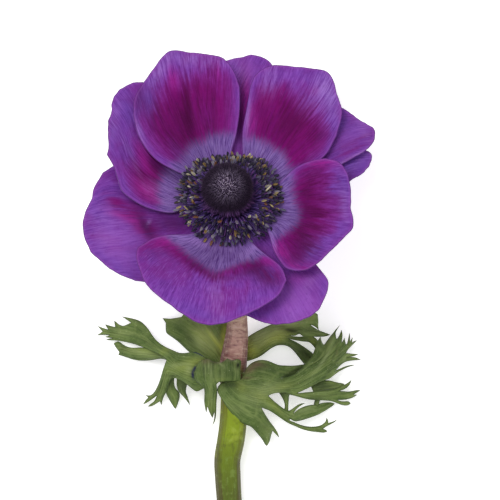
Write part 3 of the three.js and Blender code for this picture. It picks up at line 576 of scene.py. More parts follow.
        marks=dict(
            dark=[
                (-26, 1.5, 4, 3, 90, 0.3), (-26.5, -5.5, 5, 1.2, 138, 0.5), (-27, 6, 7, 2, 160, 0.3),
                (-20, 0, 8, 3, 170, 0.5), (-16, -5, 6, 2.4, 175, 0.45),
            ],
            shade=[(-25.6, -5.6, 5.5, 1.5, 120, 0.6), (-18.5, -5, 7, 3, 0, 0.45)],
            red=[
                (-29, -3.5, 8, 1.8, 143, 0.85), (-26, -6, 6, 3.2, 122, 0.8), (-33, -1, 6, 3, 150, 0.4),
                (-34, 2, 5, 1.4, 150, 0.4), (-33, -12, 7, 1.6, 165, 0.35), (-38, -9, 7, 0.8, 172, 0.3),
            ],
            hot=[(-32, -3, 5, 1.3, 160, 0.6), (-27, -5, 4.5, 2.2, 125, 0.55)],
            rose=[(-33, -9.5, 7, 5, 150, 0.65), (-31, -16.5, 7, 3, 150, 0.35)],
            blue=[(-39, 0, 9, 4, 80, 0.45), (-34, -17, 8, 2.4, 150, 0.45), (-32, -13, 8, 6, 150, 0.25)],
            pale=[(-36, -8, 8, 5, 120, 0.3), (-24.4, -5, 1.1, 0.5, 60, 1)],
        ),
        creases=[(0, 0.14, 0.4, 0.15, 0.85), (0.5, 0.1, -0.4, 0.2, 0.9), (-0.4, 0.1, -0.3, 0.2, 0.9)],
    ),
    dict(
        name="tepal_outer_2", azimuth=82, layer=2, sides=(3, 9), sag=0.3, ruffle=0.3, phase=0.9, seed=7,
        outline=[
            (-3, 15, 0), (-5.6, 26, -0.4), (-6.4, 36, -0.5), (-3, 44.6, -0.6), (3.4, 45.8, -0.65),
            (6.4, 46.6, -0.65), (9.6, 46.2, -0.6), (12.9, 43.4, -0.5), (14.8, 37.4, -0.5),
            (12.6, 27, -0.5), (7.6, 15, 0),
        ],
        look=(14.0, 22.0, 4.0, 0.0),
        marks=dict(
            dark=[(3, 26, 8, 1.1, 88, 0.5), (3.6, 31, 12, 1.0, 86, 0.45), (1.4, 30, 8, 1.2, 88, 0.4)],
            shade=[(3.2, 27, 7, 0.9, 88, 0.2)],
            red=[(3.4, 35, 9, 1.4, 86, 0.8), (5, 28, 8, 1.3, 84, 0.7)],
            hot=[(4.8, 33, 7.5, 1.3, 85, 0.9)],
            rose=[(2.6, 18.5, 3, 2, 90, 0.75), (6, 42, 6, 3, 150, 0.4)],
            blue=[(1, 43, 5, 2.2, 100, 0.4)],
            pale=[(3, 42, 6, 2.6, 120, 0.25)],
        ),
        creases=[(0, 0.2, 0.5, 0.15, 1)],
    ),
    dict(
        name="tepal_outer_3", azimuth=28, layer=2, sides=(3, 8), sag=0.2, ruffle=0.3, phase=2.9, seed=8,
        outline=[
            (10, 12, 0), (19, 21.5, -0.4), (27.6, 29.4, -0.6), (34, 30, -0.2), (39.4, 26.4, 0),
            (43.4, 23.4, 0.3), (43.6, 20.8, 0.5), (40.6, 16.8, 0.2), (33.8, 13, -0.6), (24, 8.6, -0.6),
            (14, 5, -0.2),
        ],
        look=(14.0, 24.0, 4.0, 0.0),
        marks=dict(
            shade=[(37, 22, 9, 5, 30, 0.12)],
            red=[(38, 20, 10, 0.7, 28, 0.75), (38, 17.6, 9, 0.6, 26, 0.6), (34, 22, 8, 1.2, 50, 0.3)],
            rose=[(38, 23, 9, 3, 35, 0.5)],
            blue=[(31, 27, 8, 2.6, 150, 0.6), (36, 23, 9, 5, 30, 0.35)],
            pale=[(37.6, 15.2, 8, 0.55, 27, 0.9), (40, 24, 5, 1.6, 120, 0.3)],
        ),
        creases=[(0.1, 0.14, 0.4, 0.15, 0.85)],
    ),
    dict(
        name="tepal_outer_4", azimuth=12, layer=3, sides=(3, 8), sag=0.2, ruffle=0.3, phase=4.0, seed=9,
        outline=[
            (13, 6.6, 0), (24, 13, 0), (33, 18, 0.2), (39, 17.8, 0.4), (42.5, 16.4, 0.5),
            (42.4, 13.4, 0.4), (40.4, 10.6, 0.2), (36.4, 8, 0), (32, 2, -0.2), (24, -2.6, -0.2),
            (13, -1.6, 0),
        ],
        look=(14.0, 24.0, 4.0, 0.0),
        marks=dict(
            dark=[(35, 9, 6, 1.6, 40, 0.3)],
            rose=[(41, 15, 4, 2, 30, 0.3)],
            blue=[(38, 14, 9, 6, 20, 0.9)],
            pale=[(40, 14.6, 4, 1.2, 40, 0.3)],
        ),
        creases=[(0.1, 0.14, 0.4, 0.15, 0.85)],
    ),
    dict(
        name="tepal_outer_5", azimuth=303, layer=2, sides=(2, 11), sag=0.3, ruffle=0.35, phase=5.7,
        seed=10,
        outline=[
            (12.6, -6.4, 0), (22, -12.8, -0.2), (25.8, -17.5, 0), (29, -21.8, 0.2), (29, -24.6, 0.2),
            (27.9, -27.4, 0.2), (25.9, -30.6, 0.2), (22.6, -32.9, 0.1), (18.6, -34.4, 0),
            (14, -34.7, -0.2), (9.4, -33.9, -0.3), (4, -32, -0.6), (1.4, -22, -0.6), (2.8, -11, -0.2),
        ],
        look=(14.0, 24.0, 4.0, 0.0),
        marks=dict(
            dark=[(12, -18, 6, 1.6, 118, 0.4)],
            shade=[(12, -17, 5, 3, 120, 0.3)],
            red=[(13, -24, 7, 1.2, 125, 0.3), (18, -28, 8, 1.4, 60, 0.4), (22, -25, 7, 1, 50, 0.35)],
            hot=[(19, -22.4, 6, 2.4, 20, 0.6)],
            rose=[
                (24, -30, 8, 3, 150, 0.5), (14, -24, 6, 3, 130, 0.5), (11.6, -12.6, 3, 2, 120, 0.4),
                (18.5, -28, 9, 6.5, 60, 0.9),
            ],
            blue=[(28, -26, 7, 1.4, 80, 0.4), (10, -32, 8, 1.6, 170, 0.45)],
            pale=[(20, -29, 7, 3, 60, 0.3), (24, -22, 5, 1.4, 40, 0.3)],
        ),
        creases=[(0.1, 0.14, 0.4, 0.15, 0.85), (-0.4, 0.12, -0.3, 0.2, 0.9)],
    ),
]


def on_bowl(layer, knots):
    """Places in plan, with a lift, solved for the points of the leaning disc under them."""
    x, y, lift = np.array(knots, float).T
    along = np.full(len(x), LAYERS[layer][0])
    for _ in range(SOLVE_ROUNDS):
        up = (y - along * math.sin(LEAN)) / math.cos(LEAN)
        along = bowl(layer, np.hypot(x, up)) + lift
    return np.stack([x, up, lift], -1)


def tepal_borders(spec):
    """The blade's claw, margin and two sides as dense points, and the shares across it and out along it."""
    angle = math.radians(spec["azimuth"])
    axis = np.array([math.cos(angle), math.sin(angle), 0])
    flank = np.array([-axis[1], axis[0], 0])
    knots = on_bowl(spec["layer"], spec["outline"])
    first = axis * CLAW_RADIUS + flank * CLAW_HALF
    last = axis * CLAW_RADIUS - flank * CLAW_HALF
    if np.linalg.norm(last - knots[0]) < np.linalg.norm(first - knots[0]):
        first, last = last, first
    end_a, end_b = spec["sides"]
    s = np.linspace(0, 1, TEPAL_ROWS + 1)
    a = np.linspace(0, 1, TEPAL_COLS + 1)
    left = spread(curve([first, *knots[: end_a + 1]]), s)[:, None]
    right = spread(curve([last, *knots[end_b:][::-1]]), s)[:, None]
    high = spread(curve(knots[end_a : end_b + 1]), a)[None]
    high = high * (1 + MARGIN_WAVE * waves(spec["seed"], 5, 24, 80)(a) * np.sin(math.pi * a))[None, :, None]
    low = first + (last - first) * a[None, :, None]
    return low, high, left, right, a[None, :, None], s[:, None, None]


def tepal_grid(spec):
    """The blade's middle surface on the head: across, up and along, and each point's two places in it."""
    low, high, left, right, a, s = tepal_borders(spec)
    grid = low * (1 - s) + high * s + left * (1 - a) + right * a
    grid -= (1 - s) * (1 - a) * left[0] + (1 - s) * a * right[0] + s * (1 - a) * left[-1] + s * a * right[-1]
    x, up, lift = np.moveaxis(grid, -1, 0)
    s = np.broadcast_to(s[..., 0], x.shape)
    a = np.broadcast_to(a[..., 0], x.shape)
    across = 2 * a - 1
    sag = -spec["sag"] * np.sin(math.pi * s) * (1 - across**2)
    fold = -FOLD_DEPTH * np.exp(-((across / FOLD_WIDTH) ** 2)) * np.sin(math.pi * np.minimum(1, 1.15 * s))
    ruffle = spec["ruffle"] * s**2 * np.sin(RUFFLE_RATE * across + spec["phase"])
    along = bowl(spec["layer"], np.hypot(x, up)) + lift + sag + fold + ruffle
    for place, width, depth, begin, end in spec["creases"]:
        span = smooth((s - begin) / CREASE_FADE) * smooth((end - s) / CREASE_FADE + 1)
        along = along - CREASE_SHARE * depth * span * np.exp(-(((across - place) / width) ** 2))
    along = along + MARGIN_CURL * s**4 * waves(spec["seed"] + 50, 4, 10, 26)(across + 0.15 * s)
    along = along + VEIN_RELIEF * smooth(s / 0.3) * waves(spec["seed"] + 90, 6, 40, 95)(across)
    return x, up, along, a, s


def mark_strength(points, marks, kind):
    """The summed strength, 0 to 1, of the soft marks of one kind at places in plan."""
    total = np.zeros(len(points))
    for x, y, long, wide, way, amount in marks.get(kind, []):
        turn = math.radians(way)
        off = points - (x, y)
        run = off @ (math.cos(turn), math.sin(turn))
        side = off @ (-math.sin(turn), math.cos(turn))
        total += amount * np.exp(-((run / long) ** 2) - (side / wide) ** 2)
    return np.clip(total, 0, 1)


def make_tepal(spec):
    """One tepal as a closed skin, thinner towards its margin."""
    x, up, along, a, s = tepal_grid(spec)
    points = head_points(x, up, along).reshape(-1, 3)
    faces = grid_faces(TEPAL_ROWS, TEPAL_COLS)
    if point_normals(points, faces)[:, 2].mean() < 0:
        faces = [face[::-1] for face in faces]
    flat = np.stack([x, up], -1)
    edge = np.vstack([flat[:, 0], flat[-1], flat[:, -1]])
    gap = np.linalg.norm(flat.reshape(-1, 1, 2) - edge[None], axis=2).min(1)
    thickness = TEPAL_THICK * (TEPAL_EDGE + (1 - TEPAL_EDGE) * smooth(gap / TEPAL_TAPER))
    skin, closed = thicken(points, faces, thickness)
    plan = points[:, :2] - HEAD[:2]
    values = dict(across=a.ravel(), reach=s.ravel(), radius=np.hypot(x, up).ravel(), rim=gap)
    values.update({kind: mark_strength(plan, spec["marks"], kind) for kind in TEPAL_MARK_KINDS})
    across = 2 * a.ravel() - 1
    bulge = sum(
        out * np.exp(-(((across - place) / width) ** 2)) for place, width, out in spec.get("bulges", [])
    )
    values["zone"] = values["radius"] - bulge
    values = {key: np.concatenate([v, v]) for key, v in values.items()}
    values["face"] = np.repeat([1.0, 0.0], len(points))
    piece = make_piece(spec["name"] + "_blade", skin, closed, tepal_material(spec), values)
    return piece


def tepal_material(spec):
    """Veined skin: a pale eye at the foot, a crimson band, violet outside it, marks and a pale underside."""
    eye, band, soft, strength = spec["look"]
    seed = spec["seed"]
    g = Graph(spec["name"] + "_skin")
    across = g.attribute("across")
    reach = g.attribute("reach")
    radius = g.attribute("radius")
    zone = g.attribute("zone")
    rim = g.attribute("rim")

    def streaks(lanes, length, shift, detail=3.0):
        """Noise drawn out along the tepal, with about so many lanes side by side."""
        place = g.vector(g.times(across, lanes), g.times(reach, length), seed * 3.7 + shift)
        return g.noise(place, detail=detail)

    broad = streaks(16, 2.4, 0.0)
    fine = streaks(64, 6.0, 1.3, 4.0)
    hair = streaks(170, 12.0, 2.1, 3.0)
    cloth = g.noise(g.place(), 1100, 4.0)
    wide = g.noise(g.place(), 120, 3.0)
    grain = g.noise(g.place(), 900, 3.0, 0.7)

    # Where the zones lie. Their ends are ragged, because each streak shifts them by some mm.
    loose = min(1, soft / 4)
    uneven = g.add(g.times(g.add(broad, -0.5), 12.0 * loose), g.times(g.add(fine, -0.5), 10.0 * loose))
    ragged = g.add(g.times(g.add(broad, -0.5), 2.4), g.times(g.add(fine, -0.5), 5.0))
    ragged = g.add(ragged, g.times(g.add(hair, -0.5), 5.0))
    inner = g.times(g.step(g.add(zone, ragged), eye + 2.0, eye - 2.0), 0.9)
    reached = g.add(zone, uneven)
    plum_zone = g.step(reached, band + soft, band - soft)
    plum_side = g.step(g.add(rim, g.times(uneven, 0.15)), 0.3, 3.0)
    plum_zone = g.times(g.times(plum_zone, plum_side), strength)
    bluish = g.add(g.times(g.attribute("violet"), 0.4), g.times(g.attribute("blue"), 0.9))
    plum_zone = g.math("SUBTRACT", plum_zone, g.times(bluish, g.step(fine, 0.15, 0.55)), clamp=True)
    red_zone = g.step(reached, band - 0.1 * soft, band - 2.1 * soft)
    red_side = g.step(g.add(rim, g.times(uneven, 0.3)), 1.0, 7.0)
    crimson = g.times(g.times(red_zone, red_side), strength)
    red_marks = g.times(g.attribute("red"), g.step(g.add(fine, broad), 0.72, 1.12))
    crimson = g.math("ADD", crimson, red_marks, clamp=True)
    violet_marks = g.times(g.attribute("violet"), g.step(fine, 0.2, 0.6))
    crimson = g.math("SUBTRACT", crimson, violet_marks, clamp=True)

    # The three main colours of the upper face, each with lighter and darker veins.
    violet = g.mix(g.step(fine, 0.36, 0.66), srgb(103, 47, 140), srgb(124, 65, 164))
    violet = g.mix(g.step(wide, 0.38, 0.66), violet, srgb(117, 45, 137))
    violet = g.tinge(violet, g.attribute("blue"), 0.85, g.mix(fine, srgb(86, 54, 147), srgb(110, 77, 170)))
    violet = g.tinge(violet, g.step(hair, 0.5, 0.74), 0.45, srgb(148, 96, 188))
    violet = g.tinge(violet, g.step(hair, 0.48, 0.28), 0.5, srgb(82, 26, 110))
    plum = g.mix(g.step(fine, 0.36, 0.66), srgb(104, 24, 106), srgb(124, 36, 130))
    plum = g.tinge(plum, g.step(hair, 0.5, 0.74), 0.45, srgb(142, 62, 154))
    plum = g.tinge(plum, g.step(hair, 0.48, 0.28), 0.4, srgb(82, 14, 86))
    red = g.mix(g.step(broad, 0.36, 0.62), srgb(90, 8, 75), srgb(116, 10, 100))
    red = g.mix(g.step(fine, 0.40, 0.70), red, srgb(108, 10, 100))
    red = g.tinge(red, g.step(hair, 0.52, 0.76), 0.45, srgb(128, 24, 118))
    red = g.tinge(red, g.step(hair, 0.46, 0.28), 0.4, srgb(72, 4, 64))
    colour = g.mix(plum_zone, violet, plum)
    colour = g.mix(crimson, colour, red)
    # dark marks: partly deeper crimson, partly painted shade in creases and in the gaps between tepals
    colour = g.tinge(colour, g.attribute("dark"), 0.75, srgb(66, 4, 48))
    hot = g.times(g.attribute("hot"), g.step(g.add(fine, hair), 0.6, 1.1))
    colour = g.mix(hot, colour, g.mix(fine, srgb(134, 14, 110), srgb(158, 38, 146)))

    # The pale eye, then the pale and rose marks, partly painted light, the specks, the painted shade marks,
    # darker towards the claw, and the rim with a painted dark edge over all of it.
    lilac = g.mix(g.step(fine, 0.34, 0.62), srgb(85, 60, 128), srgb(126, 100, 170))
    lilac = g.tinge(lilac, g.step(hair, 0.5, 0.74), 0.6, srgb(160, 136, 188))
    lilac = g.tinge(lilac, g.step(hair, 0.46, 0.28), 0.8, srgb(62, 30, 100))
    colour = g.mix(inner, colour, lilac)
    # pale marks: partly paler patches of the tepal, partly painted sheen highlights
    pale_and_sheen = g.times(g.attribute("pale"), g.step(g.add(hair, fine), 0.7, 1.2))
    colour = g.mix(pale_and_sheen, colour, srgb(158, 120, 196))
    # rose marks: partly pinkish lilac, partly painted light that lifts cast shadow
    colour = g.tinge(colour, g.attribute("rose"), 0.8, g.mix(fine, srgb(128, 62, 165), srgb(156, 96, 190)))
    # light specks: painted sheen flecks
    specks = g.times(g.step(grain, 0.52, 0.8), g.step(crimson, 1.6, 0.0))
    colour = g.tinge(colour, specks, 0.12, srgb(160, 92, 190))
    colour = g.tinge(colour, g.step(grain, 0.48, 0.25), 0.25, srgb(66, 16, 84))
    # shade marks: painted shade, contact shadows at gaps and overlaps
    colour = g.mix(g.attribute("shade"), colour, srgb(58, 22, 72))
    colour = g.mix(g.step(radius, 13.5, 8.5), colour, srgb(48, 22, 74))
    colour = g.tinge(colour, g.step(rim, 0.9, 0.3), 0.22, srgb(158, 92, 176))
    # painted shade: a thin dark line along the margin
    colour = g.tinge(colour, g.step(rim, 0.3, 0.06), 0.7, srgb(70, 24, 96))

    under = g.mix(g.step(fine, 0.35, 0.7), srgb(124, 86, 154), srgb(156, 124, 182))
    under = g.tinge(under, g.step(hair, 0.5, 0.72), 0.4, srgb(176, 150, 198))
    under = g.mix(g.step(radius, 22, 9), under, srgb(120, 126, 104))
    colour = g.mix(g.attribute("face"), under, colour)
    g.set(Base_Color=colour, Roughness=0.6, Specular_IOR_Level=0.04, Sheen_Weight=0.015, Sheen_Roughness=0.4)
    g.set(Sheen_Tint=srgb(206, 170, 235))
    height = g.add(g.add(g.times(broad, 1.4), fine), g.add(g.times(hair, 0.5), g.times(cloth, 0.3)))
    g.bump(height, 0.6, 0.00028)
    return g.material


# ---------------------------------------------------------------- pistil cluster
DOME_PLACE = np.array([-0.8, -0.55, 11.7])
DOME_CORE = 6.85
CROWN_TURN = math.radians(22)
STYLE_COUNT = 3000
STYLE_SIDES = 4
STYLE_FOOT = 5.6  # no style stands lower on the dome
STYLE_LENGTH = (0.75, 1.15)
STYLE_LOW_EXTRA = 0.35
STYLE_STEPS = [-0.35, 0.15, 0.45, 0.75, 1.0]  # shares of a style's length, from inside the core to its tip
STYLE_RADII = [0.17, 0.16, 0.13, 0.09, 0.04]
LOWEST_LEVEL = -0.98
FRINGE_COUNT = 330
FRINGE_SIDES = 4
FRINGE_POLAR = (94, 124)  # degrees from the dome's axis
FRINGE_LENGTH = (1.5, 2.5)
FRINGE_DROOP = 0.35
FRINGE_RADII = [0.11, 0.09, 0.07, 0.03]
CORE_FOOT = 5.35
CORE_RINGS = 22
CORE_SIDES = 48
SKEW_WAY = np.array([0.31, 0.17, 0.94])  # along no tube, so it can start a cross product


def tapered_tubes(paths, sizes, sides, wide=None, shape=None):
    """Closed tubes along paths of equal point number: points, faces and the number of points of one tube.

    paths is (tubes, steps, 3), sizes (tubes, steps) radii. wide gives each tube's sideways direction, and
    shape turns the angles round a tube into its section.
    """
    tubes, steps = sizes.shape
    run = np.gradient(paths, axis=1)
    run /= np.linalg.norm(run, axis=2, keepdims=True)
    if wide is None:
        wide = np.cross(run[:, 0], SKEW_WAY)
    wide = wide[:, None] - (wide[:, None] * run).sum(2, keepdims=True) * run
    wide /= np.linalg.norm(wide, axis=2, keepdims=True)
    deep = np.cross(run, wide)
    turn = np.arange(sides) * TAU / sides
    u, v = (np.cos(turn), np.sin(turn)) if shape is None else shape(turn)
    ring = wide[:, :, None] * u[None, None, :, None] + deep[:, :, None] * v[None, None, :, None]
    points = paths[:, :, None] + ring * sizes[:, :, None, None]
    each = steps * sides
    faces = tube_faces(steps, sides) + end_faces(steps, sides)
    closed = [tuple(i + t * each for i in face) for t in range(tubes) for face in faces]
    return points.reshape(-1, 3), closed, each


def foot_fringe(rng):
    """Paths and radii of the fine hairs that stand out under the dome."""
    turn = rng.uniform(0, TAU, FRINGE_COUNT)
    polar = np.radians(rng.uniform(*FRINGE_POLAR, FRINGE_COUNT))
    start = DOME_CORE * on_sphere(polar, turn)
    start += DOME_PLACE
    way = np.stack([np.cos(turn), np.sin(turn), rng.uniform(-0.35, 0.25, FRINGE_COUNT)], -1)
    way += rng.normal(0, 0.12, way.shape)
    length = rng.uniform(*FRINGE_LENGTH, FRINGE_COUNT)
    shares = np.array([0, 0.4, 0.75, 1.0])
    paths = start[:, None] + way[:, None] * (length[:, None] * shares)[..., None]
    paths[..., 2] -= FRINGE_DROOP * shares**2
    return paths, np.outer(rng.uniform(0.8, 1.2, FRINGE_COUNT), FRINGE_RADII)


def on_sphere(polar, turn):
    """Places on a ball of radius 1 from the angle off its axis and the angle round it."""
    return np.stack([np.sin(polar) * np.cos(turn), np.sin(polar) * np.sin(turn), np.cos(polar)], -1)


def dome_styles(rng):
    """Paths and radii of the styles, how near each is to the crown and how low it stands on the dome.

    The styles part at a crown that has turned up towards the light, away from the head's axis.
    """
    share = (np.arange(STYLE_COUNT) + 0.5) / STYLE_COUNT
    level = 1 - share * (1 - LOWEST_LEVEL)
    turn = np.arange(STYLE_COUNT) * math.pi * (3 - math.sqrt(5))
    flat = np.sqrt(1 - level**2)
    out = np.stack([flat * np.cos(turn), flat * np.sin(turn), level], -1)
    comb = np.stack([level * np.cos(turn), level * np.sin(turn), -flat], -1)
    cos, sin = math.cos(CROWN_TURN), math.sin(CROWN_TURN)
    tip_crown = np.array([[1, 0, 0], [0, cos, sin], [0, -sin, cos]])
    out = out @ tip_crown
    comb = comb @ tip_crown
    kept = out[:, 2] > (STYLE_FOOT - DOME_PLACE[2]) / DOME_CORE
    out, comb, level = out[kept], comb[kept], level[kept]
    low = smooth((0.1 - out[:, 2]) / 0.7)
    length = rng.uniform(*STYLE_LENGTH, len(out)) + STYLE_LOW_EXTRA * low
    drift = rng.normal(size=out.shape) * 0.2 + 0.6 * comb * smooth((0.97 - level) / 0.2)[:, None]
    paths = []
    for t in STYLE_STEPS:
        reach = DOME_CORE + length * t
        paths.append(out * reach[:, None] + drift * (length * max(t, 0) ** 1.6)[:, None])
    sizes = np.outer(rng.uniform(0.85, 1.15, len(out)), STYLE_RADII)
    return np.stack(paths, 1) + DOME_PLACE, sizes, level, low


def make_pistil():
    """The dome: a plain core that thousands of tapering styles stand out of, and a fringe round its foot."""
    rng = np.random.default_rng(11)
    paths, sizes, level, low = dome_styles(rng)
    count = len(level)
    points, faces, each = tapered_tubes(paths, sizes, STYLE_SIDES)
    tip = np.tile(np.repeat([0, 0.1, 0.4, 0.75, 1.0], STYLE_SIDES), count)
    high = np.repeat(level, each)
    vary = np.repeat(rng.uniform(0, 1, count), each)
    foot = np.repeat(low, each)
    paths, sizes = foot_fringe(rng)
    hairs, hair_faces, each = tapered_tubes(paths, sizes, FRINGE_SIDES)
    faces += shifted(hair_faces, len(points))
    points = np.vstack([points, hairs])
    tip = np.concatenate([tip, np.tile(np.repeat([0.2, 0.5, 0.8, 1.0], FRINGE_SIDES), FRINGE_COUNT)])
    high = np.concatenate([high, np.zeros(len(hairs))])
    vary = np.concatenate([vary, np.repeat(rng.uniform(0, 1, FRINGE_COUNT), each)])
    foot = np.concatenate([foot, np.ones(len(hairs))])

    lowest = math.acos((CORE_FOOT - DOME_PLACE[2]) / (DOME_CORE + 0.1))
    polar = np.linspace(lowest, 0.02, CORE_RINGS)[:, None]
    around = (np.arange(CORE_SIDES) * TAU / CORE_SIDES)[None]
    core = on_sphere(*np.broadcast_arrays(polar, around)) * DOME_CORE + DOME_PLACE
    faces += tube_faces(CORE_RINGS, CORE_SIDES, len(points)) + end_faces(CORE_RINGS, CORE_SIDES, len(points))
    points = np.vstack([points, core.reshape(-1, 3)])
    count = CORE_RINGS * CORE_SIDES
    values = dict(
        tip=np.concatenate([tip, np.zeros(count)]),
        high=np.concatenate([high, np.zeros(count)]),
        vary=np.concatenate([vary, np.full(count, 0.5)]),
        foot=np.concatenate([foot, np.zeros(count)]),
    )
    piece = make_piece("pistil_styles", head_points(*points.T), faces, pistil_material(), values)
    return piece


def pistil_material():
    """Dark plum velvet with a painted lilac grey highlight round the crown and on the style tips, and a
    mauve fringe at the foot.
    """
    g = Graph("pistil_velvet")
    tip = g.attribute("tip")
    high = g.attribute("high")
    vary = g.attribute("vary")
    grain = g.noise(g.place(), 2600, 3.0)
    dark = g.mix(vary, srgb(20, 12, 26), srgb(38, 24, 44))
    # painted highlight: lilac grey round the crown, where the styles face up
    lit = g.mix(g.step(vary, 0.1, 0.9), srgb(146, 126, 164), srgb(208, 190, 222))
    crown = g.math("POWER", g.math("DIVIDE", g.add(high, -0.3), 0.7, clamp=True), 6)
    crown = g.times(crown, g.step(tip, 0.0, 0.6))
    # painted highlight on the style tips
    colour = g.tinge(dark, g.step(tip, 0.4, 1.0), 0.18, srgb(84, 60, 94))
    colour = g.mix(crown, colour, lit)
    # painted highlight, brightest at the crown's middle
    colour = g.mix(g.times(g.step(high, 0.93, 1.0), g.step(vary, 0.2, 0.7)), colour, srgb(206, 188, 214))
    fringe = g.times(g.attribute("foot"), g.step(tip, -0.2, 0.8))
    colour = g.tinge(colour, fringe, 0.65, g.mix(vary, srgb(76, 46, 104), srgb(128, 82, 146)))
    colour = g.tinge(colour, g.step(grain, 0.4, 0.75), 0.4, srgb(34, 20, 40))
    g.set(Base_Color=colour, Roughness=0.75, Specular_IOR_Level=0.12, Sheen_Weight=0.12, Sheen_Roughness=0.5)
    g.set(Sheen_Tint=srgb(190, 165, 205))
    g.bump(grain, 0.5, 0.0001)
    return g.material


# ---------------------------------------------------------------- stamens
# Colours of the dark anthers, and of the ochre ones, which are GOLD_SHARE of all.
ANTHER_DARK = [
    srgb(42, 32, 58), srgb(56, 44, 76), srgb(78, 68, 98), srgb(48, 32, 72), srgb(104, 98, 122),
    srgb(46, 38, 58), srgb(32, 26, 44), srgb(140, 130, 150), srgb(36, 28, 50),
]
ANTHER_GOLD = [
    srgb(158, 128, 70), srgb(128, 102, 62), srgb(186, 166, 116), srgb(136, 88, 56), srgb(212, 202, 170),
]
GOLD_SHARE = 0.17
# The filaments' foot, their tip, and the tip of the pinkish ones.
FILAMENT_COLOURS = [srgb(62, 40, 104), srgb(120, 92, 170), srgb(150, 70, 140)]
RIM_COLOUR = srgb(50, 34, 78)

# Each tier of stamens: distance from the head's axis, height along it and number.
STAMEN_TIERS = [
    (15.0, 5.0, 104), (14.0, 6.0, 98), (12.9, 7.1, 90), (11.8, 8.2, 80), (10.7, 9.2, 64), (9.7, 9.9, 50),
    (8.9, 10.4, 34),
]
INNER_REACH = 10.2  # a stamen nearer than this to the axis is an innermost one
INNER_SIDE = -0.3  # the sine of its turn below which it is on the stem's side
FILAMENT_STEPS = 7
FILAMENT_SIDES = 5
FILAMENT_ROOT = (5.9, 6.6)
FILAMENT_FOOT = 4.9
FILAMENT_RADII = ([0, 0.15, 1], [0.2, 0.14, 0.095])  # shares of the length and the radii there
RING_TURNS = [0, 25, 52, 78, 90, 102, 130, 158, 360]  # degrees round the ring, the top at 90
RING_SWELL = [0, 0.2, 0.8, -0.5, -0.9, -0.5, 0.8, 0.2, 0]  # the ring's top is flat, not round
RING_SPREAD = 0.9  # mm
ANTHER_STEPS = 8
ANTHER_SIDES = 12
ANTHER_LENGTH = (1.5, 2.2)
ANTHER_RADIUS = (0.31, 0.46)
RIM_SIDES = 72
RIM_PROFILE = [
    (5.25, 3.9), (11.9, 3.6), (11.95, 3.68), (9.2, 3.9), (7.3, 4.4), (6.9, 4.9), (6.3, 5.3), (5.6, 5.5),
    (5.25, 5.45),
]


def anther_section(turn):
    """Two lobes side by side, with a groove between them."""
    pinch = 0.42 + 0.58 * np.abs(np.cos(turn)) ** 0.8
    return np.cos(turn), np.sin(turn) * pinch * 0.95


def place_stamens(rng):
    """Where the anthers are: turn round the head, distance from its axis and height along it."""
    turn, reach, height = [], [], []
    for number, (far, tall, count) in enumerate(STAMEN_TIERS):
        step = (np.arange(count) + 0.37 * number) / count
        turn.append(TAU * step + rng.normal(0, 0.035, count))
        off = rng.normal(0, 0.5, count)
        reach.append(far + off)
        height.append(tall - 0.55 * off + rng.normal(0, 0.28, count))
    turn, reach, height = (np.concatenate(v) for v in (turn, reach, height))
    # On the stem's side the photograph shows none of the innermost stamens.
    kept = (reach > INNER_REACH) | (np.sin(turn) > INNER_SIDE)
    turn, reach, height = turn[kept], reach[kept], height[kept]
    reach = reach + RING_SPREAD * np.interp(np.degrees(turn) % 360, RING_TURNS, RING_SWELL)
    return turn, reach, height


def filament_lines(rng, turn, reach, height):
    """Filaments rise from the ring round the dome's foot and bend outwards."""
    way = np.stack([np.cos(turn), np.sin(turn)], -1)
    flank = np.stack([-np.sin(turn), np.cos(turn)], -1)
    sway = rng.normal(0, 0.5, len(turn))
    root = rng.uniform(*FILAMENT_ROOT, len(turn))[:, None]
    shares = np.linspace(0, 1, FILAMENT_STEPS)[None]
    r = root + (reach[:, None] - root) * shares**0.85
    h = FILAMENT_FOOT + (height[:, None] - FILAMENT_FOOT) * np.sin(shares * math.pi / 2) ** 0.8
    side = sway[:, None] * np.sin(shares * math.pi) * 0.6
    xy = way[:, None] * r[..., None] + flank[:, None] * side[..., None]
    return np.concatenate([xy, h[..., None]], -1), flank


def filament_paint(rng, count, each):
    """Violet, lighter towards the tip, and pinkish on one filament in four."""
    hue = np.repeat(rng.uniform(0, 1, count), each)
    shade = np.tile(np.repeat(np.linspace(0, 1, FILAMENT_STEPS), FILAMENT_SIDES), count)
    low, high, pink = (np.array(colour) for colour in FILAMENT_COLOURS)
    tint = low + (high - low) * shade[:, None]
    return tint + (pink - tint) * (0.55 * (hue > 0.75) * shade)[:, None]


def anther_bodies(rng, lines, flank):
    """Middle lines and radii of the anthers, and the way that each lies flat."""
    count = len(lines)
    lead = lines[:, -1] - lines[:, -3]
    lead /= np.linalg.norm(lead, axis=1, keepdims=True)
    lead += rng.normal(0, 0.28, lead.shape)
    lead[:, 2] += 0.12
    lead /= np.linalg.norm(lead, axis=1, keepdims=True)
    long = rng.uniform(*ANTHER_LENGTH, count)
    bend = rng.normal(0, 0.12, (count, 3))
    shares = np.linspace(0, 1, ANTHER_STEPS)
    bodies = lines[:, -1:] + lead[:, None] * (long[:, None] * (shares - 0.3))[..., None]
    bodies += bend[:, None] * (4 * (shares - 0.5) ** 2)[None, :, None]
    fat = np.sin(math.pi * np.clip(shares * 0.94 + 0.03, 0, 1)) ** 0.45
    sizes = np.outer(rng.uniform(*ANTHER_RADIUS, count), fat)
    wide = np.concatenate([flank, np.zeros((count, 1))], 1) + rng.normal(0, 0.45, (count, 3))
    return bodies, sizes, wide


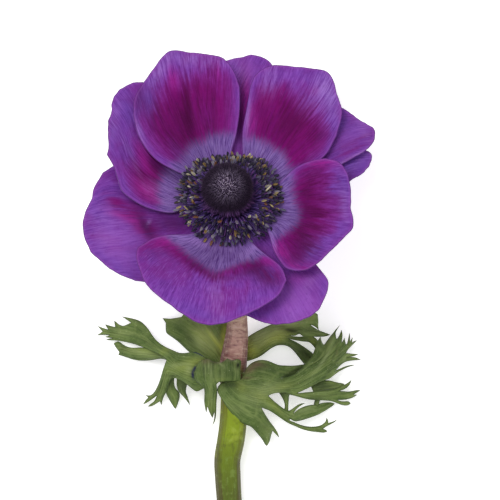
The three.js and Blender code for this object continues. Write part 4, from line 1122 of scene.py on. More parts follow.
def anther_paint(rng, count, each):
    """Near black or ochre bodies with darker seams, some of which show a little pollen."""
    gold = rng.uniform(0, 1, count) < GOLD_SHARE
    side_colour = np.array([ANTHER_DARK[k] for k in rng.integers(0, len(ANTHER_DARK), count)])
    gold_colour = np.array([ANTHER_GOLD[k] for k in rng.integers(0, len(ANTHER_GOLD), count)])
    around = np.arange(ANTHER_SIDES) * TAU / ANTHER_SIDES
    groove = np.tile(np.abs(np.sin(around)) ** 6, ANTHER_STEPS * count)[:, None]
    body = np.where(gold[:, None], gold_colour, side_colour)
    pollen = (rng.uniform(0, 1, count) < 0.3)[:, None] * 0.2
    seam = np.where(gold[:, None], gold_colour * 0.3, side_colour * (0.5 - pollen) + gold_colour * pollen)
    return np.repeat(body, each, 0) * (1 - groove) + np.repeat(seam, each, 0) * groove


def make_stamens():
    """The ring of filaments and anthers, with the rim that they rise from."""
    rng = np.random.default_rng(23)
    lines, flank = filament_lines(rng, *place_stamens(rng))
    count = len(lines)
    shares = np.linspace(0, 1, FILAMENT_STEPS)
    thin = np.outer(rng.uniform(0.9, 1.15, count), np.interp(shares, *FILAMENT_RADII))
    points, faces, each = tapered_tubes(lines, thin, FILAMENT_SIDES)
    tint = filament_paint(rng, count, each)
    bodies, sizes, wide = anther_bodies(rng, lines, flank)
    anthers, anther_faces, each = tapered_tubes(bodies, sizes, ANTHER_SIDES, wide, anther_section)
    faces += shifted(anther_faces, len(points))
    points = np.vstack([points, anthers])
    colour = np.vstack([tint, anther_paint(rng, count, each)])
    colour[:, 3] = 1
    ring, ring_faces = lathe(RIM_PROFILE, RIM_SIDES)
    faces += shifted(ring_faces, len(points))
    points = np.vstack([points, ring])
    colour = np.vstack([colour, np.tile(RIM_COLOUR, (len(ring), 1))])
    points = head_points(*points.T)
    piece = make_piece("stamen_ring", points, faces, stamen_material(), colours=dict(tint=colour))
    return piece


def stamen_material():
    """The painted colour of each filament and anther, with dark grain."""
    g = Graph("stamen_skin")
    grain = g.noise(g.place(), 3200, 3.0)
    colour = g.tinge(g.attribute("tint", "Color"), g.step(grain, 0.3, 0.75), 0.5, srgb(36, 34, 52))
    g.set(Base_Color=colour, Roughness=0.5, Specular_IOR_Level=0.2)
    g.bump(grain, 0.6, 0.00008)
    return g.material


# ---------------------------------------------------------------- stem
# The stem's middle: place in plan from the head's base, height and radius.
STEM_LINE = [
    (0, -1.7, 18.1, 3.0), (0, -3.9, 15.0, 2.9), (0.2, -6.5, 12.3, 2.9), (0.5, -9.6, 10.1, 2.9),
    (0.8, -13, 8.6, 2.9),
    (1.2, -16.6, 7.6, 2.9), (1.6, -21, 7.2, 2.9), (1.9, -28, 7.2, 2.95), (2.1, -33.9, 7.2, 3.0),
    (2.05, -38.1, 7.2, 3.3), (1.4, -43.5, 7.3, 3.8), (0.9, -47.5, 7.4, 4.1), (0.9, -51.3, 7.5, 4.05),
    (1.05, -57, 7.4, 3.9), (0.83, -65.4, 6.9, 4.07), (0.1, -71.1, 6.3, 4.12), (-0.88, -76.5, 5.8, 3.95),
    (-0.75, -82, 5.4, 3.88), (-0.38, -88, 5.0, 3.78), (0.5, -98, 4.5, 3.65), (1.5, -109, 4.1, 3.65),
    (2, -121, 3.8, 3.7), (2, -134, 3.6, 3.65), (1.5, -147, 3.52, 3.6), (0.8, -157, 3.52, 3.6),
    (0.3, -163, 3.52, 3.6),
]
STEM_SIDES = 56
STEM_RINGS = 330
STEM_FLOOR = 0.02
FOLD_HEIGHT = 0.10
# Along the head's axis, and the share of the receptacle's radius.
RECEPTACLE = [
    (4.75, 0.5), (4.7, 0.85), (4.35, 0.98), (3.2, 1), (1.8, 1), (0.4, 1), (-0.9, 0.97), (-1.5, 0.86),
]
RECEPTACLE_RADIUS = 4.95
# The cut end, from its rim to its middle: share of the radius, depth and how much of the ring is pith.
CUT_RINGS = [(0.86, 0.12, 0.4), (0.7, -0.05, 0.7), (0.45, 0.1, 1), (0.2, 0.22, 1), (0.03, 0.25, 1)]
STEM_STAINS = ("maroon", "mauve", "tan")
# Its marks are on the drawing grid of the leaves.
STEM_MARKS = dict(
    maroon=[(244.5, 368, 2, 7, 0, 0.85), (227, 355, 2.4, 1.4, 20, 0.8)],
    mauve=[
        (221.4, 357, 1.6, 9, 0, 0.8), (234, 346.4, 6, 1, 10, 0.7), (232, 357.6, 7, 0.8, 4, 0.7),
        (236, 364, 5, 0.8, 14, 0.6), (229, 338, 6, 0.8, 6, 0.5),
    ],
    tan=[
        (232, 350, 6, 1.2, 8, 0.6), (231, 361, 5, 1.2, -6, 0.5), (238, 354.6, 5, 1, 20, 0.6),
        (231, 341, 6, 1, -6, 0.4),
    ],
)


def stem_rings():
    """Middle and radius of each ring of the stem, from the receptacle to the cut end."""
    knots = []
    for along, share in RECEPTACLE:
        centre = head_points(np.array(0.0), np.array(0.0), np.array(along))
        knots.append((*centre, RECEPTACLE_RADIUS * share))
    for x, y, z, radius in STEM_LINE:
        knots.append((HEAD[0] + x, HEAD[1] + y, z, radius))
    cap = len(RECEPTACLE)
    rest = spread(curve(knots[cap - 1:]), np.linspace(0, 1, STEM_RINGS)[1:])
    rings = np.vstack([np.array(knots[:cap]), rest])
    return rings[:, :3], rings[:, 3]


def stem_relief(walk, turn):
    """Height of the skin's ribs, and of the pedicel's folds, over the plain tube."""
    ribs = 0.05 * np.sin(11 * turn + 0.4) + 0.04 * np.sin(17 * turn + 1.9)
    body = smooth((walk - 12) / 8)
    pedicel = smooth((walk - 8) / 6) * smooth((58 - walk) / 8)
    folds = np.sin(walk[:, None] * 2.6 + 1.3 * np.sin(turn * 2 + walk[:, None] * 0.21))
    patchy = 0.6 + 0.4 * np.sin(turn * 3 + walk[:, None] * 0.5)
    return body[:, None] * ribs[None] + FOLD_HEIGHT * pedicel[:, None] * np.abs(folds) * patchy


def make_stem():
    """The whole stem as one closed tube, with ribs, folds and a modelled cut end."""
    centre, radius = stem_rings()
    run = np.gradient(centre, axis=0)
    run /= np.linalg.norm(run, axis=1, keepdims=True)
    side = np.array([1.0, 0, 0]) - run[:, :1] * run
    side /= np.linalg.norm(side, axis=1, keepdims=True)
    up = np.cross(run, side)
    turn = np.arange(STEM_SIDES) * TAU / STEM_SIDES
    cos, sin = np.cos(turn), np.sin(turn)
    walk = np.concatenate([[0], np.cumsum(np.linalg.norm(np.diff(centre, axis=0), axis=1))])
    wide = radius[:, None] + stem_relief(walk, turn)
    cut = smooth((walk - walk[-1] + 1.2) / 1.2)
    wide = wide * (1 - 0.04 * cut[:, None])
    flat = side[:, None] * (cos * wide)[..., None]
    points = centre[:, None] + flat + up[:, None] * (sin * wide)[..., None]
    points[..., 2] = np.maximum(points[..., 2], STEM_FLOOR)
    points = points.reshape(-1, 3)
    disc = []
    for share, depth, _ in CUT_RINGS:
        rough = 0.04 * np.sin(turn * 7 + share * 20)
        spot = centre[-1] - run[-1] * depth
        reach = share + rough * share
        flat = side[-1] * (cos * reach * radius[-1])[:, None]
        disc.append(spot + flat + up[-1] * (sin * reach * radius[-1])[:, None])
    points = np.vstack([points, *disc])
    rings = len(centre) + len(disc)
    faces = tube_faces(rings, STEM_SIDES) + end_faces(rings, STEM_SIDES)[::-1]
    corners = points[[face[:3] for face in faces]]
    volume = np.einsum("ij,ij->i", corners[:, 0], np.cross(corners[:, 1], corners[:, 2])).sum()
    if volume < 0:
        faces = [face[::-1] for face in faces]
    depths = np.concatenate([np.zeros(len(centre)), [core for _, _, core in CUT_RINGS]])
    values = dict(
        walk=np.repeat(np.concatenate([walk, np.full(len(disc), walk[-1])]), STEM_SIDES),
        cx=np.tile(cos, rings), cy=np.tile(sin, rings), cut=np.repeat(depths, STEM_SIDES),
    )
    marks = grid_marks(STEM_MARKS)
    values.update({kind: mark_strength(points[:, :2] - HEAD[:2], marks, kind) for kind in STEM_STAINS})
    piece = make_piece("stem_skin_tube", points, faces, stem_material(walk[-1]), values)
    return piece


def stem_material(total):
    """total is the length of the stem's line. Colour changes along it, and from its top to its flanks, whose
    darker colours are painted shade on the stem's sides.
    """
    g = Graph("stem_green")
    walk = g.attribute("walk")
    x = g.attribute("cx")
    y = g.attribute("cy")
    around = g.vector(g.times(x, 9.0), g.times(y, 9.0), g.times(walk, 0.09))
    lines = g.noise(around, 1.0, 4.0)
    hair = g.noise(g.vector(g.times(x, 30.0), g.times(y, 30.0), g.times(walk, 0.16)), 1.0, 3.0)
    blotch = g.noise(g.place(), 260, 4.0)
    place = g.math("DIVIDE", g.add(walk, g.times(g.add(blotch, -0.5), 10)), total, clamp=True)
    body = g.ramp(place, [
        (0.00, srgb(112, 116, 60)), (0.12, srgb(140, 130, 82)), (0.235, srgb(186, 172, 122)),
        (0.265, srgb(204, 172, 148)), (0.30, srgb(196, 156, 140)), (0.33, srgb(150, 106, 92)),
        (0.355, srgb(104, 108, 44)), (0.385, srgb(122, 138, 30)), (0.45, srgb(130, 150, 32)),
        (0.485, srgb(104, 122, 28)), (0.56, srgb(83, 98, 30)), (1.0, srgb(88, 106, 40)),
    ])
    # flank: darker copies of the body's colours, painted shade for the stem's sides
    flank = g.ramp(place, [
        (0.00, srgb(96, 92, 50)), (0.20, srgb(136, 112, 84)), (0.26, srgb(152, 118, 106)),
        (0.33, srgb(112, 74, 68)), (0.36, srgb(92, 88, 34)), (0.45, srgb(104, 112, 32)),
        (0.5, srgb(82, 82, 38)), (0.56, srgb(80, 75, 40)), (1.0, srgb(84, 79, 44)),
    ])
    # painted shade on the left and right sides of the stem
    sides = g.add(g.math("ABSOLUTE", x), g.times(x, -0.09))
    colour = g.mix(g.step(g.add(sides, g.times(g.add(lines, -0.5), 0.9)), 0.36, 0.88), body, flank)

    # The pedicel's pale and dark bands across, and its marks.
    pedicel = g.times(g.step(walk, 34, 44), g.step(walk, 62, 56))
    bands = g.noise(g.vector(g.times(x, 1.3), g.times(y, 1.3), g.times(walk, 0.95)), 1.0, 3.0, 0.6, 0.7)
    colour = g.tinge(colour, g.times(pedicel, g.step(bands, 0.5, 0.66)), 0.5, srgb(222, 196, 176))
    colour = g.tinge(colour, g.times(pedicel, g.step(bands, 0.48, 0.34)), 0.65, srgb(128, 88, 84))
    colour = g.tinge(colour, g.attribute("tan"), 0.7, srgb(205, 172, 146))
    colour = g.tinge(colour, g.attribute("mauve"), 0.7, srgb(122, 80, 86))
    colour = g.tinge(colour, g.attribute("maroon"), 0.9, srgb(102, 52, 56))

    # The scape's fine lines, stains and mottle, and a painted highlight patch under the leaves.
    threads = g.times(g.step(hair, 0.5, 0.75), g.step(walk, 56, 66))
    colour = g.tinge(colour, threads, 0.25, srgb(142, 152, 62))
    stained = g.times(g.step(walk, 60, 90), g.step(g.add(lines, g.times(blotch, 0.6)), 0.78, 1.0))
    colour = g.tinge(colour, stained, 0.24, srgb(88, 66, 44))
    mottle = g.noise(g.place(), 520, 4.0)
    below = g.step(walk, 66, 84)
    colour = g.tinge(colour, g.times(below, g.step(mottle, 0.52, 0.7)), 0.5, srgb(122, 146, 68))
    colour = g.tinge(colour, g.times(below, g.step(mottle, 0.48, 0.32)), 0.5, srgb(74, 78, 34))
    # painted highlight: a bright yellow-green patch on the scape
    lit = g.times(g.step(walk, 62, 70), g.step(walk, 94, 80))
    colour = g.tinge(colour, g.times(lit, g.step(blotch, 0.5, 0.66)), 0.4, srgb(166, 182, 66))

    # The cut end: pale pith with a ring of darker strands.
    pith = g.mix(g.step(blotch, 0.3, 0.7), srgb(196, 204, 150), srgb(160, 176, 106))
    ring = g.times(g.step(g.attribute("cut"), 0.35, 0.6), g.step(g.attribute("cut"), 1.0, 0.8))
    bundles = g.times(ring, g.step(g.cells(g.place(), 1300), 0.45, 0.2))
    pith = g.tinge(pith, bundles, 0.8, srgb(104, 124, 54))
    colour = g.mix(g.attribute("cut"), colour, pith)
    g.set(Base_Color=colour, Roughness=0.5, Specular_IOR_Level=0.16, Sheen_Weight=0.03, Sheen_Roughness=0.5)
    wrinkles = g.times(g.times(pedicel, bands), 3.0)
    g.bump(g.add(wrinkles, g.add(lines, g.add(g.times(hair, 0.5), g.times(blotch, 0.5)))), 0.6, 0.0003)
    return g.material


# ---------------------------------------------------------------- leaves of the whorl
# Leaves are listed on a drawing grid with steps of 0.3 mm, as the camera sees it: its point 230, 207 is
# over the head's base, its second number grows towards the stem's cut end, and the third is the height in
# mm. A strip runs outwards row by row. A row's anchors hold a column and its place, or just both ends'
# places, or just a tip's. A strip's kids share its last row between them, and a kid with no rows leaves its
# share as the margin. Marks are soft patches of colour, listed by kind: place on the grid, half length and
# half width in steps, way in degrees and amount. The black marks are painted shadow in curls and gaps. The
# dark marks are partly darker green and partly painted shade in folds, under overlapping lobes and beside
# the stem. The yellow, lime and pale marks are partly the leaf's own yellower and paler green and partly
# painted light that lifts shade, with painted highlights along some edges. The purple marks are
# purple-brown patches and the navy marks dark blue slits.
GRID_STEP = 0.3
GRID_ZERO = (230, 207)
GRID_MIDDLE = (250, 250)
LEAF_LEVELS = 3
LEAF_THICK = 0.34
LEAF_TAPER = 0.8  # the blade thins over this much before its edge
LEAF_LOWEST = 0.22  # of the sheet's middle
LEAF_FLOOR = 0.04  # of its skin
FORK_SHARP = 0.5
TIP_SHARP = 0.85
VEIN_NARROWING = 0.72  # from a strip's vein to its kids'
VEIN_DEPTH = 0.10
VEIN_REACH = 9.0  # a point farther from all veins counts as this far
WIDEST_HALF = 3.2  # the flesh bulges no more between veins farther apart
EDGE_WAVE = 0.30
PLEAT_HEIGHT = 0.06
LOW_RELIEF = np.array([1, 1, 0.35])  # heights count less than places in plan
LEAF_MARK_KINDS = ("dark", "pale", "yellow", "lime", "purple", "navy", "black")


def strip(cols, rows, *kids):
    """A strip of a leaf: its number of columns, its rows of anchors and its kids."""
    return dict(cols=cols, rows=rows, kids=kids)


FAN = strip(10, [
    [(303.8, 389.7, 8.6), (303.8, 366.2, 10.8)], [(311, 387.3, 8.1), (308.8, 361, 10.2)],
    [
        (0, 318, 384, 7.6), (3, 322, 372, 8.4), (6, 324, 362.5, 8.8), (9, 317.5, 361.5, 9.4),
        (10, 312.5, 356.5, 9.6),
    ],
    [
        (0, 324, 380.8, 6.9), (1, 329, 372, 7.2), (3, 336, 361, 7.2), (6, 337, 352.5, 7.4),
        (7, 334.5, 350.5, 7.6), (8, 330.5, 348.5, 7.9), (9, 321.5, 351.5, 8.6), (10, 314.6, 350.6, 9),
    ],
    [
        (0, 329.5, 379.6, 6.2), (1, 336, 370.4, 6.2), (3, 346.2, 353.4, 5.9), (6, 345.8, 344.6, 6.2),
        (7, 341.6, 342.4, 6.4), (8, 336.6, 339, 6.8), (9, 324.2, 344.2, 7.6), (10, 315.6, 346.5, 8.4),
    ],
],
    strip(1, [
        [(335.7, 374, 5), (337, 370.4, 5)], [(342, 370, 4.2), (343.3, 367.4, 4.2)],
        [(348.9, 366.6, 3.6), (348.9, 365.2, 3.6)], [(355.4, 364.9, 3)],
    ]),
    strip(2, [[(0, 343.5, 363.5, 5), (1, 347.5, 357.8, 5.2), (2, 348.4, 353.5, 5.4)]],
        strip(1, [
            [(349.8, 361, 4), (350.4, 357.2, 4.2)], [(356, 360, 3.2), (355, 356.9, 3.4)],
            [(361, 359.7, 2.8)],
        ]),
        strip(1, [[(353.6, 356.4, 4), (353, 353.8, 4.1)], [(358.5, 354.2, 3.2)]]),
    ),
    strip(3, [[(0, 351, 347, 4.6), (1, 351.8, 343.4, 4.8), (2, 350, 341.4, 5), (3, 347.7, 343, 5)]],
        strip(1, [[(354.5, 343.2, 3.8), (353.8, 341.4, 4)], [(357.4, 340.2, 3.2)]]),
        strip(1, [[(352.8, 337.4, 3.6)]]),
        strip(1, [[(350.1, 337.8, 4), (348.3, 337.8, 4)], [(349.6, 333, 3.6)]]),
    ),
    strip(1, [[(345, 341.8, 5.2), (342.7, 341.2, 5.4)], [(344.3, 337.9, 4.8)]]),
    strip(1, [
        [(342, 338.4, 5.6), (338.4, 337.2, 5.8)], [(342.2, 334.1, 5.2), (339.8, 333.7, 5.4)],
        [(341.1, 330, 4.8)],
    ]),
    strip(1, [
        [(335.4, 334.1, 6), (328.8, 337.2, 6.4)], [(335.8, 331.8, 5.4), (333.2, 332.4, 5.4)],
        [(340, 325.5, 4.6)],
    ]),
    strip(1, [[(321.4, 340.8, 6.8), (317.6, 340.4, 7.2)], [(320.8, 336.4, 6.4)]]),
)
THIRD = strip(4, [
    [(295.8, 395.9, 8.6), (303.8, 392.3, 8)], [(303.8, 398.4, 7.6), (311.8, 391.9, 7)],
    [(311.8, 400, 6.6), (319, 391.2, 6)], [(322, 400.6, 5.2), (327, 390.5, 5.2)],
    [(0, 331.7, 401.2, 4), (1, 337.6, 400, 3.6), (3, 338.6, 391.2, 3.9), (4, 335.4, 389.4, 4.2)],
],
    strip(1, [
        [(337.3, 403, 3), (341, 400.6, 3)], [(342.9, 405.3, 2.2), (344.4, 400.9, 2.2)],
        [(347.7, 405.4, 1.6), (348, 400.9, 1.6)], [(350.4, 403.2, 1.2)],
    ]),
    strip(2, [
        [(0, 343, 399.7, 2.8), (1, 344.5, 395.5, 2.8), (2, 343.4, 391.2, 3)],
        [(0, 351.6, 398.3, 1.8), (1, 353.5, 394.6, 1.8), (2, 350.4, 392, 2)],
    ],
        strip(1, [[(357.9, 395.2, 1)]]),
        strip(1, [[(357.2, 392.2, 1.1), (355.6, 389.8, 1.2)], [(361, 390.2, 0.6)]]),
    ),
    strip(1, [
        [(344, 389.8, 3.2), (341.6, 385.9, 3.5)], [(349.4, 386, 2.6), (347.2, 383.7, 2.6)],
        [(351.6, 379.8, 1.9)],
    ]),
)
STALK = strip(6, [
    [(270.3, 410.8, 9.2), (273.5, 400.8, 9.6)], [(278.3, 416.4, 8.4), (279.1, 405.2, 8.8)],
    [(0, 286.3, 421.9, 7.6), (3, 289, 418.6, 7.7), (6, 287.5, 411.8, 8)],
],
    strip(3, [
        [(294.2, 425.5, 6.2), (295.8, 423.3, 6.2)], [(302.2, 429.5, 5), (303.8, 426.2, 5)],
        [(311.8, 431.6, 4), (311.8, 427, 4)],
        [(0, 319.7, 432.4, 3), (1, 323, 429, 3), (3, 319.4, 426.2, 3)],
    ],
        strip(1, [[(323.6, 432.9, 2.2), (325.4, 429.4, 2.3)], [(327.3, 431.2, 1.8)]]),
        strip(2, [[(0, 326.6, 426, 2.2), (1, 328.2, 423.2, 2.2), (2, 325.2, 422.8, 2.2)]],
            strip(1, [[(334.7, 422.4, 1.5), (334.1, 421.2, 1.6)], [(337.4, 419.2, 1.2)]]),
            strip(1, [[(328, 419.6, 1.9), (326.2, 419.6, 1.9)], [(326.5, 417.2, 1.7)]]),
        ),
    ),
    strip(3, [[(0, 294.2, 422, 6.9), (2, 292.8, 413.4, 7.4), (3, 291, 409.8, 7.4)]],
        strip(2, [
            [(302.2, 420.8, 5.6), (299.6, 408.6, 6.2)], [(310.2, 418.4, 4.8), (309.4, 405.2, 5.4)],
            [(319.7, 414.4, 3.6), (317.6, 404.8, 4.2)], [(327.7, 409.6, 2.4), (324.6, 402.4, 3)],
            [(333, 405.8, 1.8), (331.6, 402.2, 1.9)], [(334.8, 403.6, 1.6)],
        ]),
        strip(1, [
            [(296.9, 408.6, 6.6), (295.8, 406, 6.6)], [(301.4, 404.9, 6.2), (301, 403.1, 6.2)],
            [(305.2, 403.3, 5.9)],
        ]),
    ),
)
LEAF_RIGHT = [
    dict(
        tree=strip(25, [
            [(0, 221.6, 382, 11.4), (10, 231, 380, 11.4), (19, 240.6, 378, 11.6), (25, 243, 374.6, 12.1)],
            [
                (0, 214.4, 388.8, 12.4), (6, 232, 391, 12.5), (16, 245, 386, 12.8),
                (23, 247.5, 374, 12.6), (25, 246.3, 367.6, 12.4),
            ],
            [
                (0, 224, 403.3, 12.2), (5, 243, 400, 12.6), (10, 252, 392, 12.4), (19, 256, 377, 12.2),
                (23, 257, 370, 12.2), (25, 251.6, 362.2, 12.2),
            ],
            [
                (0, 231, 412.9, 11.8), (3, 248, 405, 11.4), (9, 260, 396.5, 11.2), (18, 266, 381, 11.6),
                (23, 268, 373, 11.6), (25, 260.7, 359.3, 12),
            ],
            [
                (0, 238.6, 421, 11.2), (3, 257, 410, 10.4), (9, 266.6, 395.4, 10.4), (17, 273, 384, 11),
                (23, 277, 377, 11.4), (25, 269.5, 360.8, 11.6),
            ],
            [
                (0, 246.3, 425.4, 10.4), (3, 261.6, 407.8, 10), (9, 268.8, 396.2, 10.2),
                (23, 281.5, 378.2, 11.6), (25, 276.6, 364.8, 11.2),
            ],
        ],
            strip(3, [
                [(252, 426.5, 9.8), (265.5, 414.4, 8.8)], [(257.5, 433.6, 8.2), (270.3, 422.4, 7.6)],
                [(0, 262.6, 439.4, 6.6), (2, 272.9, 431, 6.4), (3, 274.9, 427.9, 6.6)],
            ],
                strip(2, [[(265, 444.9, 4.9), (270, 442, 5)], [(267, 446.4, 4.6)]]),
                strip(1, [[(276.6, 434.8, 5.2), (278, 432.6, 5.2)], [(279, 437.6, 4.4)]]),
            ),
            STALK,
            strip(14, [
                [(0, 274, 395.1, 9.9), (4, 278, 391.5, 10.4), (14, 289.4, 377.6, 11.8)],
                [(0, 282, 394, 9.6), (4, 287, 391.4, 9.8), (14, 295.8, 374.6, 11.6)],
                [(0, 290, 394.6, 9.2), (4, 297, 392.8, 8.8), (14, 300, 369.6, 11)],
            ],
                THIRD,
                FAN,
            ),
            strip(2, [
                [(287, 378.6, 9.4), (283.1, 365.8, 10.6)], [(295, 376, 8.6), (291.8, 366.6, 10)],
                [(304, 372, 8), (303.8, 364.7, 8.6)], [(310, 368, 7.4), (309, 362.8, 7.8)],
            ]),
        ),
        marks=dict(
            dark=[
                (291, 374.6, 9, 2.2, 22, 0.85), (300, 369, 7, 3, 15, 0.4), (230, 386, 10, 3.4, 0, 0.95),
                (264, 428, 11, 7, -50, 0.4), (238, 412, 12, 4, -45, 0.3), (270, 369, 12, 4, -8, 0.3),
                (318, 362, 9, 4, 40, 0.3), (334.6, 357, 9, 1.1, 68, 0.8), (340, 356, 10, 2, 68, 0.5),
                (326, 352, 6, 1, 70, 0.4), (320, 344, 5, 1.4, 75, 0.5), (330, 372, 8, 1.6, 50, 0.5),
                (300, 384, 14, 1.4, 24, 0.35), (340, 396, 12, 1.2, 8, 0.4), (316, 401, 10, 3.4, 8, 0.6),
                (297, 407, 6, 1.4, 30, 0.6), (310, 428.6, 14, 2, -5, 0.35),
            ],
            purple=[
                (250, 370, 9, 4.2, 30, 0.85), (247, 379, 6, 1.4, 5, 0.6), (258, 365, 9, 3, -15, 0.6),
                (337.6, 354, 3, 0.8, 80, 0.5),
            ],
            yellow=[
                (241, 388, 7, 5, -50, 0.7), (260, 397, 9, 5, -20, 0.65), (282, 388, 12, 3.4, 12, 0.55),
                (274, 407, 10, 2.6, -45, 0.6), (243, 374, 3, 1.4, 60, 0.7),
            ],
            pale=[
                (327, 357, 14, 1.4, 58, 0.5), (322, 364, 14, 1.6, 52, 0.4), (333, 343, 5, 2, 70, 0.3),
                (306, 412, 12, 2.4, 18, 0.45), (252, 402, 12, 7, -30, 0.3), (268, 391, 16, 8, 10, 0.55),
                (245.4, 369.6, 7, 0.9, 48, 0.8), (320, 395, 14, 1.6, 5, 0.15),
            ],
        ),
    ),
    dict(
        tree=strip(3, [
            [(311, 386, 6), (314, 392.6, 5.8)], [(318, 382, 5.6), (324.5, 391.6, 4.6)],
            [(328, 380, 5), (334, 391, 3.4)], [(337.3, 383, 3.6), (342, 388, 2.8)], [(345, 384.3, 2.8)],
        ]),
        marks=dict(
            dark=[(320, 387, 9, 6, 0, 1.0), (332, 388, 9, 3, 10, 0.6)],
            yellow=[(333, 384, 6, 1.6, -10, 0.4)],
        ),
    ),
    dict(
        tree=strip(2, [
            [(278, 391.5, 8.6), (290, 391.5, 8.4)], [(281.5, 396.4, 8.2), (289.2, 396.4, 8)],
            [(284, 401, 7.8), (288.7, 401, 7.7)], [(285.4, 406, 7.4), (288.3, 406, 7.3)],
            [(284.2, 410.4, 7.2), (288.4, 411.8, 7)],
        ]),
        marks=dict(
            dark=[(283, 396, 6, 5, 60, 0.9)],
        ),
    ),
    dict(
        tree=strip(2, [[(315, 399, 4.8), (320.4, 399, 4.6)], [(313.6, 403.6, 4.2), (318, 406.4, 3.8)]]),
        marks=dict(
            dark=[(316, 402, 5, 5, 60, 0.8)],
        ),
    ),
]
